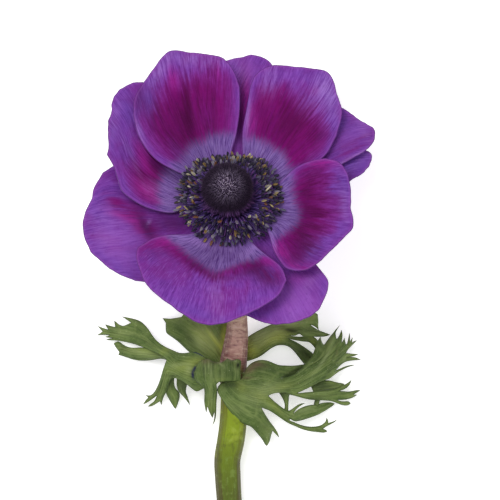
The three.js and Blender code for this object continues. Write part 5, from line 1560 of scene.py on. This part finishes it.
LEAF_LEFT = [
    dict(
        tree=strip(14, [
            [(213, 384, 11.4), (213, 361.5, 11.2)], [(205, 388, 11.2), (206, 358.4, 11.2)],
            [(199.5, 390, 10.8), (201, 354.6, 11.2)], [(195.5, 393, 10.2), (194.1, 351.4, 10.8)],
            [(0, 188, 387, 9.6), (7, 186, 370, 10.4), (14, 187, 352.8, 10.2)],
            [(0, 180.5, 381.2, 9), (7, 176.5, 367, 9.8), (14, 179.6, 353.5, 9.4)],
            [(0, 172, 377.2, 8.2), (3, 168, 371, 8.4), (6, 166.6, 359.8, 8.8), (14, 172.7, 350.1, 8.8)],
        ],
            strip(6, [
                [(169.8, 380.6, 7.6), (163.8, 367.1, 7.8)], [(168.2, 384.2, 6.8), (161.1, 376.1, 6.8)],
                [(166.4, 392, 5.2), (157.2, 388, 5)],
                [(0, 164.2, 396, 4.2), (4, 157, 395.6, 3.9), (6, 153.2, 394.4, 4.1)],
            ],
                strip(4, [[(0, 162.3, 400.2, 2.8), (2, 160, 401.4, 2.7), (4, 154.9, 400.6, 2.9)]],
                    strip(2, [[(161.5, 405.2, 1.8)]]),
                    strip(2, [
                        [(156.4, 403.2, 2.2), (153.4, 402, 2.4)],
                        [(152.1, 406, 1.1), (150.2, 403.8, 1.3)], [(147.8, 406.4, 0.7)],
                    ]),
                ),
                strip(2, [[(0, 151.6, 399.8, 3), (1, 148.4, 397.8, 3.2), (2, 149.4, 396, 3.4)]],
                    strip(1, [[(147.8, 402.2, 1.6), (146, 399.6, 1.8)], [(142.8, 404.6, 0.7)]]),
                    strip(1, [[(144.8, 395, 2.6)]]),
                ),
            ),
            strip(8, [
                [(160.5, 355, 7.6), (163.8, 346.5, 7.8)], [(155, 352.6, 6.6), (157.5, 341.6, 7)],
                [(148.6, 350.2, 5.6), (153, 337.2, 6.2)], [(141.4, 346.6, 4.8), (148.4, 330.3, 5.4)],
                [(0, 130.7, 343.5, 3.6), (5, 132, 331, 4), (8, 143.4, 323.4, 4.6)],
                [
                    (0, 120.9, 341.2, 2.6), (4, 120.6, 332, 3), (6, 124.4, 325.6, 3.2),
                    (7, 131, 322.4, 3.6), (8, 138.6, 320, 4),
                ],
            ],
                strip(6, [
                    [
                        (0, 115.5, 340, 2), (1, 113, 338, 1.8), (2, 110.5, 335, 1.6),
                        (4, 108.5, 329.5, 1.6), (5, 115.5, 327.4, 2.2), (6, 121, 326.4, 2.8),
                    ],
                ],
                    strip(1, [[(110.5, 340.3, 1.3), (110.6, 338.2, 1.3)], [(105.8, 340, 0.9)]]),
                    strip(1, [[(105.2, 337, 1)]]),
                    strip(2, [[(0, 103.4, 334.4, 0.9), (1, 103, 331.5, 1), (2, 104.6, 328.6, 1.1)]],
                        strip(1, [[(96.9, 335.3, 0.36)]]),
                        strip(1, [[(97.3, 325.9, 0.4)]]),
                    ),
                    strip(1, [[(105, 324.3, 1.1)]]),
                    strip(1, [[(114, 320.2, 1.4)]]),
                ),
                strip(1, []),
                strip(1, [[(128.6, 320.6, 3), (131.5, 318.2, 3.2)], [(121.6, 316.5, 2.2)]]),
            ),
        ),
        marks=dict(
            dark=[
                (157, 392, 9, 2, 62, 0.5), (169, 383, 7, 1.6, 62, 0.5), (136, 322, 9, 2.2, -25, 0.6),
                (196, 388, 8, 2.4, 10, 0.3), (148, 345, 10, 2.4, -30, 0.35), (172, 377, 9, 1.4, 0, 0.6),
                (176, 353, 10, 1.2, -25, 0.5), (108, 328, 8, 2, -20, 0.3),
            ],
            navy=[
                (194, 369.8, 3.4, 1.5, 62, 1.0), (192.3, 376, 3.8, 1.5, 97, 1.0),
                (201, 355.8, 6.6, 1.0, -24, 0.9), (195.4, 352.8, 2.0, 1.3, -10, 1.0),
            ],
            purple=[(183, 353, 4, 1.2, 10, 0.5)],
            yellow=[
                (185, 367, 14, 5, 12, 0.8), (196, 362, 9, 4, 0, 0.5), (164, 352, 9, 3, 35, 0.5),
                (188, 375, 5, 5, 0, 0.5),
            ],
            pale=[(178, 366, 12, 2, 8, 0.5), (188, 371, 6, 3.4, 80, 0.55), (122, 334, 12, 3, -12, 0.25)],
        ),
    ),
    dict(
        tree=strip(5, [
            [(168, 361, 7.6), (168, 353, 7.6)], [(161.1, 358.4, 5.9), (158, 351, 5.9)],
            [(153, 360.2, 4.6), (150, 349, 4.6)], [(145, 361.1, 3.5), (141.4, 346.9, 3.6)],
            [(137.9, 360.6, 2.7), (133.4, 348.3, 2.6)], [(130.7, 358.8, 2.2), (125.4, 346.5, 2)],
            [(124.3, 356.6, 1.8), (120.9, 343, 1.6)],
            [
                (0, 118, 354.6, 1.4), (1, 119.6, 352.2, 1.5), (4, 115.8, 347.6, 1.4),
                (5, 117.4, 340.4, 1.4),
            ],
        ],
            strip(4, []),
            strip(1, [[(113.2, 343.6, 1.1)]]),
        ),
        marks=dict(
            dark=[(160, 356, 9, 3, -15, 0.7), (140, 359.6, 14, 1, 0, 0.5), (121, 350, 5, 4, 60, 0.35)],
            yellow=[(140, 352, 14, 3, -10, 0.7)],
            pale=[(133, 352, 10, 1.2, -12, 0.4), (143, 355, 18, 4, -10, 0.4)],
        ),
    ),
    dict(
        tree=strip(3, [
            [(174.4, 376, 7), (164, 380, 6.6)], [(173.6, 385, 5.6), (165.4, 388, 4.8)],
            [(176, 390.5, 4.6), (166, 393.5, 3.8)], [(180.6, 394.2, 3.8), (169.1, 399.5, 3)],
            [(178.9, 402, 2.4), (172.2, 404.6, 2.2)], [(175.4, 408.8, 1.4)],
        ]),
        marks=dict(
            dark=[(170, 382, 9, 7, 60, 1.0), (178, 397, 6, 1.6, 70, 0.5)],
        ),
    ),
    dict(
        tree=strip(3, [
            [(187, 383, 7.6), (176.5, 377, 7.4)], [(185.2, 390.4, 5.6), (176.5, 386, 6)],
            [(186.2, 394.2, 4.8), (178, 391.2, 5)], [(187.9, 398, 4), (181.8, 394.8, 4.2)],
            [(189, 402, 3.2), (187, 401.2, 3.3)], [(189.9, 406, 2.5)],
        ]),
        marks=dict(
            dark=[(182, 386, 12, 9, -60, 1.0)],
        ),
    ),
    dict(
        tree=strip(12, [
            [
                (0, 195.2, 368, 11.6), (1, 197, 363.8, 11.7), (2, 200, 360.4, 11.8), (4, 206, 358, 12),
                (5, 210, 357.2, 11.9), (6, 213.5, 361.4, 11.7), (7, 218, 361.8, 11.6),
                (8, 222.5, 360.4, 11.8), (9, 227, 355.6, 12.4), (10, 232, 360, 12),
                (11, 236, 359.2, 13.6), (12, 239.6, 361.8, 14.2),
            ],
            [
                (0, 194.3, 370.4, 12), (2, 199.4, 363.8, 12.9), (5, 209, 361.4, 13.3),
                (6, 213.5, 363.4, 12.9), (8, 222, 363.4, 13.3), (9, 227.5, 361.4, 13.8),
                (10, 232, 363, 13.4), (11, 236.6, 363.8, 12.8), (12, 240.4, 364.8, 13.2),
            ],
            [
                (0, 193.3, 374, 12.3), (2, 198.8, 368.4, 13.2), (4, 206, 366, 13.8), (5, 210, 366, 13.4),
                (8, 222, 367, 13.9), (11, 236, 367.5, 14.2), (12, 240.8, 368.8, 13.8),
            ],
            [
                (0, 193.8, 378.6, 12.4), (2, 198.8, 376, 13.2), (5, 209, 374, 13.7), (8, 222, 374, 13.8),
                (12, 240.8, 375.6, 13.5),
            ],
            [
                (0, 196.2, 382.4, 12.1), (2, 203.9, 387.9, 12.1), (6, 216.6, 383.8, 12.8),
                (7, 219, 381.2, 12.9), (8, 222, 381.8, 12.9), (12, 240.4, 382.6, 12.9),
            ],
        ],
            strip(2, []),
            strip(4, [
                [(204.8, 391.6, 11.2), (217.5, 391.5, 11.6)], [(204.1, 400.2, 9.8), (216.7, 398, 10)],
                [
                    (0, 204.7, 405.5, 8.8), (1, 207.4, 406.2, 8.8), (3, 214.3, 411.8, 7.4),
                    (4, 216, 409.6, 7.6),
                ],
            ],
                strip(1, [[(206.5, 412.4, 7.6)]]),
                strip(2, [[(209.2, 411.2, 7.8), (213.4, 414.4, 7)], [(212.5, 418, 6)]]),
                strip(1, [[(214.8, 419, 5.8), (216.2, 418.8, 5.8)], [(212, 426.4, 5)]]),
            ),
            strip(6, []),
        ),
        marks=dict(
            dark=[
                (226, 375, 13, 7, 0, 0.5), (200, 372, 3.4, 8, 10, 0.2), (213, 366, 1.2, 6, 0, 0.6),
                (206.4, 368, 0.7, 8, 2, 0.65), (209.9, 368, 0.6, 8, -3, 0.55),
                (202.6, 370, 0.6, 8, 5, 0.55), (216.4, 400, 1, 12, 4, 0.6), (205, 396, 0.9, 10, 0, 0.5),
                (228, 383, 12, 1, 0, 0.5), (204, 372, 0.8, 9, 4, 0.4),
            ],
            black=[(237.8, 366, 1.8, 3.6, -20, 1.0)],
            purple=[(216, 362, 5, 2.2, 0, 0.85), (205, 362, 4, 3, 0, 0.6)],
            yellow=[(221, 380, 6, 1.4, 10, 0.3)],
            pale=[
                (208.4, 366, 0.7, 7, 2, 0.8), (211, 374, 1.4, 12, 0, 0.35), (204.9, 370, 0.6, 9, 3, 0.6),
                (219.5, 364.6, 5.4, 1.1, -34, 0.75), (235.6, 362.2, 3.4, 0.8, -30, 0.6),
                (230, 361.6, 6, 1.2, 0, 0.4), (210, 397, 2.4, 10, 0, 0.25),
            ],
        ),
    ),
]
LEAF_BACK = [
    dict(
        tree=strip(10, [
            [(0, 212, 362, 2.8), (5, 224, 364, 2.9), (10, 238, 362, 3)],
            [(0, 207, 358.6, 2.7), (5, 221, 354, 2.9), (10, 236, 348, 3)],
            [(0, 198, 356, 2.4), (5, 213, 343, 2.8), (10, 232, 334, 2.8)],
            [(0, 190, 353.6, 2), (5, 205, 335, 2.6), (10, 229, 320, 2.8)],
            [(0, 184.2, 348.4, 1.7), (5, 197, 329, 2.6), (10, 226, 305, 3)],
            [(0, 177.1, 341.4, 1.3), (2, 177, 333, 1.8), (5, 187, 322, 2.4), (10, 216, 294, 3.2)],
            [
                (0, 168.5, 336.4, 0.9), (1, 165.2, 333.2, 0.9), (2, 165.4, 327, 1),
                (3, 165.8, 322.8, 1.1), (4, 170.5, 318.7, 1.4), (5, 182, 317, 2), (7, 193, 308, 2.6),
                (10, 209, 288, 3.4),
            ],
        ],
            strip(3, []),
            strip(1, [[(162.6, 318.2, 0.9)]]),
            strip(1, []),
            strip(3, [[(191, 297, 2.6)]]),
            strip(2, [[(208, 281, 3.4)]]),
        ),
        marks=dict(
            dark=[
                (178, 329, 10, 9, -40, 0.3), (188, 339, 10, 4, -55, 0.5), (198, 326, 9, 5, -30, 0.3),
                (226, 356, 4, 8, 0, 0.4),
            ],
            yellow=[(205, 345, 16, 10, -40, 0.3), (215, 352, 8, 6, 0, 0.45)],
            lime=[
                (216, 344, 14, 2.4, -54, 0.8), (203, 338, 15, 8, -50, 0.3), (223, 340, 15, 3.2, 84, 1.0),
            ],
            pale=[
                (203, 338, 16, 9, -50, 0.5), (200, 346, 12, 6, -40, 0.4), (213, 339, 12, 1.1, -55, 0.7),
                (206, 346, 10, 1, -35, 0.35), (219, 336, 10, 0.8, -65, 0.45),
            ],
        ),
    ),
    dict(
        tree=strip(9, [
            [(238, 363, 3), (234, 350, 3)], [(248.6, 361, 3.2), (248.3, 336, 3.2)],
            [(255, 358.8, 3.4), (255, 332.3, 3.8)], [(261, 356.2, 3.6), (261.7, 328.7, 4.4)],
            [(265.8, 352.2, 4), (268.9, 325.4, 5)], [(271.4, 348.2, 4.3), (275, 323, 5.6)],
            [(0, 277.4, 345.5, 4.6), (5, 281, 333, 5.8), (9, 283, 321, 6.2)],
            [(0, 282.5, 344.8, 4.7), (3, 288.6, 338.4, 5.4), (5, 289, 334.8, 6), (9, 291, 319, 6.4)],
        ],
            strip(3, [
                [(287.1, 345.8, 4.6), (295.6, 342, 5)], [(291.4, 348.8, 4.2), (301.7, 346.3, 4.4)],
                [(295.6, 353.6, 3.6), (307.7, 349.9, 3.6)], [(299.8, 358.5, 2.8), (312.6, 353.2, 2.8)],
                [(304.1, 364, 2), (316, 357, 2)], [(311, 372, 1), (320, 365, 1.2)], [(323, 373, 0.6)],
            ]),
            strip(2, [
                [(293.8, 340.2, 5), (294.4, 336.8, 5.4)], [(301.7, 341.6, 4.6), (302.2, 337.4, 4.8)],
                [(308, 342, 4.2), (308.4, 335.4, 4.5)], [(310.4, 342.8, 4), (315.4, 337.4, 4.2)],
                [(314.4, 347, 3.8), (319, 342, 3.9)], [(316.8, 350.8, 3.6), (320, 348.4, 3.6)],
            ]),
            strip(4, [
                [(295, 336.6, 6.2), (296, 318.4, 6.4)], [(297.4, 333.9, 6.4), (299, 318, 6.4)],
                [(300.8, 333.9, 6.5), (302.6, 317.6, 6.4)], [(303, 336.8, 6.2), (305, 317, 6.3)],
                [(0, 308, 337.4, 6), (3, 310, 324.4, 6.4), (4, 309.6, 315.4, 6.1)],
            ],
                strip(3, [
                    [(314, 336.8, 5.8), (313, 327, 6.2)], [(318.6, 336.8, 5.2), (317.6, 329.6, 5.4)],
                    [(324, 336.8, 4.4), (323.4, 332, 4.4)], [(331, 334.8, 3.6)],
                ]),
                strip(1, [[(315, 326, 6), (314, 311.8, 5.8)], [(318.8, 329.8, 5.6), (317.8, 314.2, 5.5)]]),
            ),
        ),
        marks=dict(
            dark=[
                (304, 354, 16, 6, -40, 0.95), (277, 346, 10, 1.2, 12, 0.5), (262, 355.4, 8, 1.2, 30, 0.5),
                (296, 331, 9, 3.4, -5, 0.5), (302, 340, 9, 1.6, -5, 0.7), (313, 332, 10, 2.4, -15, 0.5),
                (291, 340, 7, 2, -35, 0.4),
            ],
            black=[(291, 331.4, 9, 2.8, -12, 0.8)],
            yellow=[
                (313.6, 342, 5, 3, -50, 1.0), (256, 347, 12, 9, 40, 0.9), (282, 338, 9, 4, 20, 0.6),
                (313, 318, 6, 3, 70, 0.4),
            ],
            lime=[(250, 352, 7, 9, 40, 0.8), (276, 338, 18, 6, 24, 0.6)],
            pale=[
                (256, 341, 10, 7, 40, 0.5), (300, 322, 12, 4, 20, 0.5), (270, 336, 20, 8, 24, 0.95),
                (263, 345, 12, 1.2, 42, 0.35), (288, 325, 9, 1, 8, 0.3),
            ],
        ),
    ),
]


class LeafSheet:
    """A leaf's coarse sheet, grown from its strips: points, faces, sharp points and veins along the strips.

    Each point has a lane, its column counted over the whole sheet, and a walk, its distance from the base.
    """

    def __init__(self, tree):
        self.points = []
        self.lanes = []
        self.walks = []
        self.faces = []
        self.tips = []
        self.forks = []
        self.veins = []
        self.grow(tree, None, None, 1.0, 0, 0.0)
        self.points = np.array(self.points)

    def add_point(self, x, y, z, lane, walk):
        """A lower point is farther from the camera, so the same place in the picture lies farther out."""
        spread_out = 1 + (VIEW_LEVEL / MM - z) * MM / VIEW_HEIGHT
        x = GRID_MIDDLE[0] + (x - GRID_MIDDLE[0]) * spread_out
        y = GRID_MIDDLE[1] + (y - GRID_MIDDLE[1]) * spread_out
        plan = (x - GRID_ZERO[0]) * GRID_STEP + HEAD[0], (GRID_ZERO[1] - y) * GRID_STEP + HEAD[1]
        self.points.append((*plan, z))
        self.lanes.append(lane)
        self.walks.append(walk)
        return len(self.points) - 1

    def add_row(self, anchors, cols, first, walk):
        """A row of points between its anchors. first is the number of the row's first lane."""
        if len(anchors) == 1:
            tip = self.add_point(*anchors[0], first + cols / 2, walk)
            self.tips.append(tip)
            return [tip]
        if len(anchors[0]) == 3:
            anchors = [(0, *anchors[0]), (cols, *anchors[1])]
        table = np.array(anchors, float)
        row = []
        for c in range(cols + 1):
            place = [np.interp(c, table[:, 0], table[:, k]) for k in (1, 2, 3)]
            row.append(self.add_point(*place, first + c, walk))
        return row

    def join(self, low, high):
        """Faces between two rows, or from a row to a tip."""
        for c in range(len(low) - 1):
            if len(high) == 1:
                self.faces.append((low[c], low[c + 1], high[0]))
            else:
                self.faces.append((low[c], low[c + 1], high[c + 1], high[c]))

    def middle(self, row):
        """A place in the middle of a row, for the vein."""
        return np.mean([self.points[row[0]], self.points[row[len(row) // 2]], self.points[row[-1]]], 0)

    def grow(self, branch, start, root, width, first, walk):
        """Adds a strip, then its kids. start is the row that it goes on from, root a place before that."""
        row = start
        path = [] if root is None else [root, self.middle(start)]
        for anchors in branch["rows"]:
            after = self.add_row(anchors, branch["cols"], first, walk)
            if row:
                self.join(row, after)
            row = after
            path.append(self.middle(row))
            if len(path) > 1:
                walk += np.linalg.norm(path[-1] - path[-2])
                for k in row:
                    self.walks[k] = walk
        if branch["rows"]:
            self.veins.append((np.array(path), width))
        at = 0
        for kid in branch["kids"]:
            share = row[at : at + kid["cols"] + 1]
            self.grow(kid, share, path[-2:][0], width * VEIN_NARROWING, first + at, walk)
            at += kid["cols"]
            if at < branch["cols"]:
                self.forks.append(row[at])


def segment_gap(points, a, b):
    """Distance of points from the line between a and b, with heights counted less."""
    p, a, b = points * LOW_RELIEF, a * LOW_RELIEF, b * LOW_RELIEF
    run = b - a
    t = np.clip((p - a) @ run / max(run @ run, 1e-9), 0, 1)
    return np.linalg.norm(p - a - t[:, None] * run, axis=1)


def subdivide(sheet, levels):
    """Catmull-Clark subdivision with kept corners: the new points, faces, lanes and walks."""
    sharp = np.zeros(len(sheet.points), np.float32)
    sharp[sheet.forks] = FORK_SHARP
    sharp[sheet.tips] = TIP_SHARP
    mesh = bpy.data.meshes.new("coarse")
    mesh.from_pydata(sheet.points.tolist(), [], sheet.faces)
    for key, values in (("crease_vert", sharp), ("lane", sheet.lanes), ("walk", sheet.walks)):
        layer = mesh.attributes.new(key, "FLOAT", "POINT")
        layer.data.foreach_set("value", np.array(values, np.float32))
    coarse = bpy.data.objects.new("coarse", mesh)
    bpy.context.scene.collection.objects.link(coarse)
    modifier = coarse.modifiers.new("smooth", "SUBSURF")
    modifier.levels = levels
    modifier.boundary_smooth = "PRESERVE_CORNERS"
    fine = bpy.data.meshes.new_from_object(coarse.evaluated_get(bpy.context.evaluated_depsgraph_get()))
    count = len(fine.vertices)
    co = np.zeros(count * 3)
    fine.vertices.foreach_get("co", co)
    lane, walk = np.zeros(count, np.float32), np.zeros(count, np.float32)
    fine.attributes["lane"].data.foreach_get("value", lane)
    fine.attributes["walk"].data.foreach_get("value", walk)
    faces = [tuple(p.vertices) for p in fine.polygons]
    bpy.data.objects.remove(coarse)
    bpy.data.meshes.remove(mesh)
    bpy.data.meshes.remove(fine)
    return co.reshape(-1, 3), faces, lane.astype(float), walk.astype(float)


def grid_marks(marks):
    """Marks by kind, with their places and sizes turned into mm in plan from the head's base."""
    turned = {}
    for kind, rows in marks.items():
        turned[kind] = []
        for x, y, long, wide, way, amount in rows:
            place = (x - GRID_ZERO[0]) * GRID_STEP, (GRID_ZERO[1] - y) * GRID_STEP
            turned[kind].append((*place, long * GRID_STEP, wide * GRID_STEP, way, amount))
    return turned


def leaf_lift(points, lane, vein, near, gap, seed):
    """How far a leaf's skin stands off its smooth sheet: veins sunk, flesh raised between them, edges wavy.

    near and gap are a point's distances from the nearest vein and from the edge.
    """
    half = np.minimum(near + gap, WIDEST_HALF)
    share = near / (near + gap + 1e-6)
    lift = 0.10 * half - 0.30 * half * share**2
    lift += EDGE_WAVE * np.exp(-((gap / 0.9) ** 2)) * lumps(points, seed, 9)
    lift += PLEAT_HEIGHT * smooth(gap / 0.7) * np.sin(TAU * (lane + 0.35 * lumps(points, seed + 3, 12)))
    lift += 0.14 * lumps(points, seed + 1, 6) + 0.05 * lumps(points, seed + 2, 2.0) - VEIN_DEPTH * vein
    return lift


def leaf_skin(part, seed):
    """One sheet of a leaf as a closed skin: points, faces and point attributes."""
    sheet = LeafSheet(part["tree"])
    points, faces, lane, walk = subdivide(sheet, LEAF_LEVELS)
    normals = point_normals(points, faces)
    if normals[:, 2].mean() < 0:
        faces = [face[::-1] for face in faces]
        normals = -normals
    edge = points[sorted({k for pair in free_edges(faces) for k in pair})]
    gap = np.concatenate([
        np.linalg.norm(some[:, None] - edge[None], axis=2).min(1) for some in np.array_split(points, 24)
    ])
    vein = np.zeros(len(points))
    near = np.full(len(points), VEIN_REACH)
    for path, width in sheet.veins:
        for a, b in zip(path, path[1:]):
            away = segment_gap(points, a, b)
            vein = np.maximum(vein, np.exp(-((away / (0.22 + 0.16 * width)) ** 2)))
            near = np.minimum(near, away)
    points = points + normals * leaf_lift(points, lane, vein, near, gap, seed)[:, None]
    points[:, 2] = np.maximum(points[:, 2], LEAF_LOWEST)
    skin, closed = thicken(points, faces, LEAF_THICK * (0.5 + 0.5 * smooth(gap / LEAF_TAPER)))
    skin[:, 2] = np.maximum(skin[:, 2], LEAF_FLOOR)
    plan = points[:, :2] - HEAD[:2]
    marks = grid_marks(part["marks"])
    values = dict(vein=vein, rim=gap, lane=lane, walk=walk)
    values.update({kind: mark_strength(plan, marks, kind) for kind in LEAF_MARK_KINDS})
    values = {key: np.concatenate([v, v]) for key, v in values.items()}
    values["face"] = np.repeat([1.0, 0.0], len(points))
    return skin, closed, values


def make_leaf(node, parts, seed):
    """All the sheets of a leaf in one piece."""
    points, faces, values = [], [], []
    start = 0
    for number, part in enumerate(parts):
        skin, closed, layers = leaf_skin(part, seed + 7 * number)
        points.append(skin)
        faces += shifted(closed, start)
        values.append(layers)
        start += len(skin)
    merged = {key: np.concatenate([layers[key] for layers in values]) for key in values[0]}
    piece = make_piece(node + "_blade", np.vstack(points), faces, leaf_material(node, seed), merged)
    return piece


def leaf_material(node, seed):
    """Green with streaks along the veins, a fine net, the marks and a paler underside."""
    g = Graph(node + "_green")
    lane = g.attribute("lane")
    walk = g.attribute("walk")
    vein = g.attribute("vein")
    rim = g.attribute("rim")
    streak = g.noise(g.vector(g.times(lane, 1.5), g.times(walk, 0.10), seed * 1.3), 1.0, 3.0)
    thread = g.noise(g.vector(g.times(lane, 4.6), g.times(walk, 0.22), seed * 2.1), 1.0, 3.0)
    cloud = g.noise(g.place(), 160, 3.0)
    mottle = g.noise(g.place(), 700, 4.0)
    grain = g.noise(g.place(), 2600, 3.0)
    net = g.cells(g.place(), 950, "DISTANCE_TO_EDGE")
    speck = g.cells(g.place(), 620)
    green = g.mix(g.step(cloud, 0.36, 0.64), srgb(78, 100, 45), srgb(102, 122, 62))
    green = g.tinge(green, g.step(streak, 0.52, 0.68), 0.65, srgb(128, 144, 84))
    green = g.tinge(green, g.step(streak, 0.47, 0.32), 0.65, srgb(58, 78, 36))
    green = g.tinge(green, g.step(thread, 0.54, 0.72), 0.4, srgb(134, 150, 92))
    green = g.tinge(green, g.step(thread, 0.46, 0.3), 0.35, srgb(60, 78, 40))
    green = g.tinge(green, g.step(mottle, 0.45, 0.75), 0.5, srgb(114, 132, 76))
    green = g.tinge(green, g.step(net, 0.08, 0.0), 0.2, srgb(124, 142, 84))
    # yellow, pale and lime marks: partly the leaf's own paler green, partly painted light that lifts shade
    # and painted highlights along some edges
    green = g.tinge(green, g.attribute("yellow"), 0.8, g.mix(streak, srgb(112, 128, 46), srgb(158, 170, 84)))
    green = g.tinge(green, g.attribute("pale"), 0.9, g.mix(thread, srgb(128, 144, 88), srgb(168, 180, 124)))
    green = g.tinge(green, g.attribute("lime"), 0.9, g.mix(thread, srgb(156, 168, 64), srgb(202, 210, 102)))
    green = g.tinge(green, vein, 0.3, srgb(140, 154, 90))
    green = g.tinge(green, g.attribute("purple"), 0.85, g.mix(mottle, srgb(84, 60, 58), srgb(120, 98, 70)))
    # dark marks: partly darker green, partly painted shade in folds, under lobes and beside the stem
    green = g.tinge(green, g.attribute("dark"), 0.8, g.mix(streak, srgb(34, 44, 24), srgb(70, 84, 46)))
    green = g.tinge(green, g.step(rim, 0.42, 0.06), 0.5, srgb(52, 68, 30))
    green = g.tinge(green, g.step(speck, 0.12, 0.04), 0.45, srgb(176, 184, 140))
    green = g.mix(g.attribute("navy"), green, srgb(26, 24, 76))
    # black marks: painted shadow inside curls and in gaps
    green = g.mix(g.attribute("black"), green, srgb(18, 24, 12))
    under = g.mix(g.step(mottle, 0.35, 0.7), srgb(92, 108, 72), srgb(120, 134, 98))
    under = g.tinge(under, vein, 0.6, srgb(150, 158, 112))
    colour = g.mix(g.attribute("face"), under, green)
    g.set(Base_Color=colour, Roughness=0.48, Specular_IOR_Level=0.16, Sheen_Weight=0.03, Sheen_Roughness=0.5)
    rough = g.add(g.times(mottle, 0.7), g.times(grain, 0.3))
    g.bump(g.add(g.times(streak, 1.6), g.add(g.times(thread, 0.8), rough)), 0.7, 0.0004)
    return g.material


# ---------------------------------------------------------------- floor, light and camera
def make_studio():
    """A plain white floor, white light from all round, and two soft lamps."""
    bpy.ops.mesh.primitive_plane_add(size=FLOOR_SIZE)
    floor = bpy.context.object
    floor.name = "studio_floor"
    g = Graph("studio_white")
    tone = g.noise(g.place(), 3.0, 2.0)
    g.set(Base_Color=g.mix(tone, srgb(250, 250, 250), srgb(253, 253, 253)), Roughness=0.9)
    g.set(Specular_IOR_Level=0.1, Emission_Color=WHITE, Emission_Strength=FLOOR_GLOW)
    floor.data.materials.append(g.material)

    world = bpy.data.worlds.new("studio")
    bpy.context.scene.world = world
    world.use_nodes = True
    background = world.node_tree.nodes["Background"]
    background.inputs["Color"].default_value = WHITE
    background.inputs["Strength"].default_value = WORLD_LIGHT
    for name, place, size, power in LAMPS:
        light = bpy.data.lights.new(name, "AREA")
        light.shape = "DISK"
        light.size = size
        light.energy = power
        lamp = bpy.data.objects.new(name, light)
        lamp.location = place
        bpy.context.scene.collection.objects.link(lamp)
        aim = LAMP_AIM - np.array(place)
        tilt = math.acos(-aim[2] / np.linalg.norm(aim))
        lamp.rotation_euler = (tilt, 0, math.atan2(aim[1], aim[0]) - math.pi / 2)


def make_camera():
    """Looks straight down. The photograph's frame is 150 mm wide at the level of the head."""
    camera = bpy.data.cameras.new("photo")
    camera.sensor_width = FILM_WIDTH
    camera.lens = FOCAL_LENGTH
    looker = bpy.data.objects.new("photo", camera)
    middle = HEAD[0] + FRAME_MIDDLE[0], HEAD[1] + FRAME_MIDDLE[1]
    looker.location = (middle[0] * MM, middle[1] * MM, VIEW_LEVEL + VIEW_HEIGHT)
    looker.rotation_euler = (0, 0, 0)
    bpy.context.scene.collection.objects.link(looker)
    bpy.context.scene.camera = looker
    bpy.context.scene.view_settings.view_transform = "Standard"


make_camera()
make_studio()
pieces = {spec["name"]: make_tepal(spec) for spec in TEPALS}
pieces["pistil_cluster"] = make_pistil()
pieces["stamens"] = make_stamens()
pieces["stem"] = make_stem()
LEAVES = [("leaf_right", LEAF_RIGHT, 31), ("leaf_left", LEAF_LEFT, 41), ("leaf_back", LEAF_BACK, 51)]
for node, parts, seed in LEAVES:
    pieces[node] = make_leaf(node, parts, seed)
for node, piece in pieces.items():
    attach(piece, "root")
    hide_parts(node)
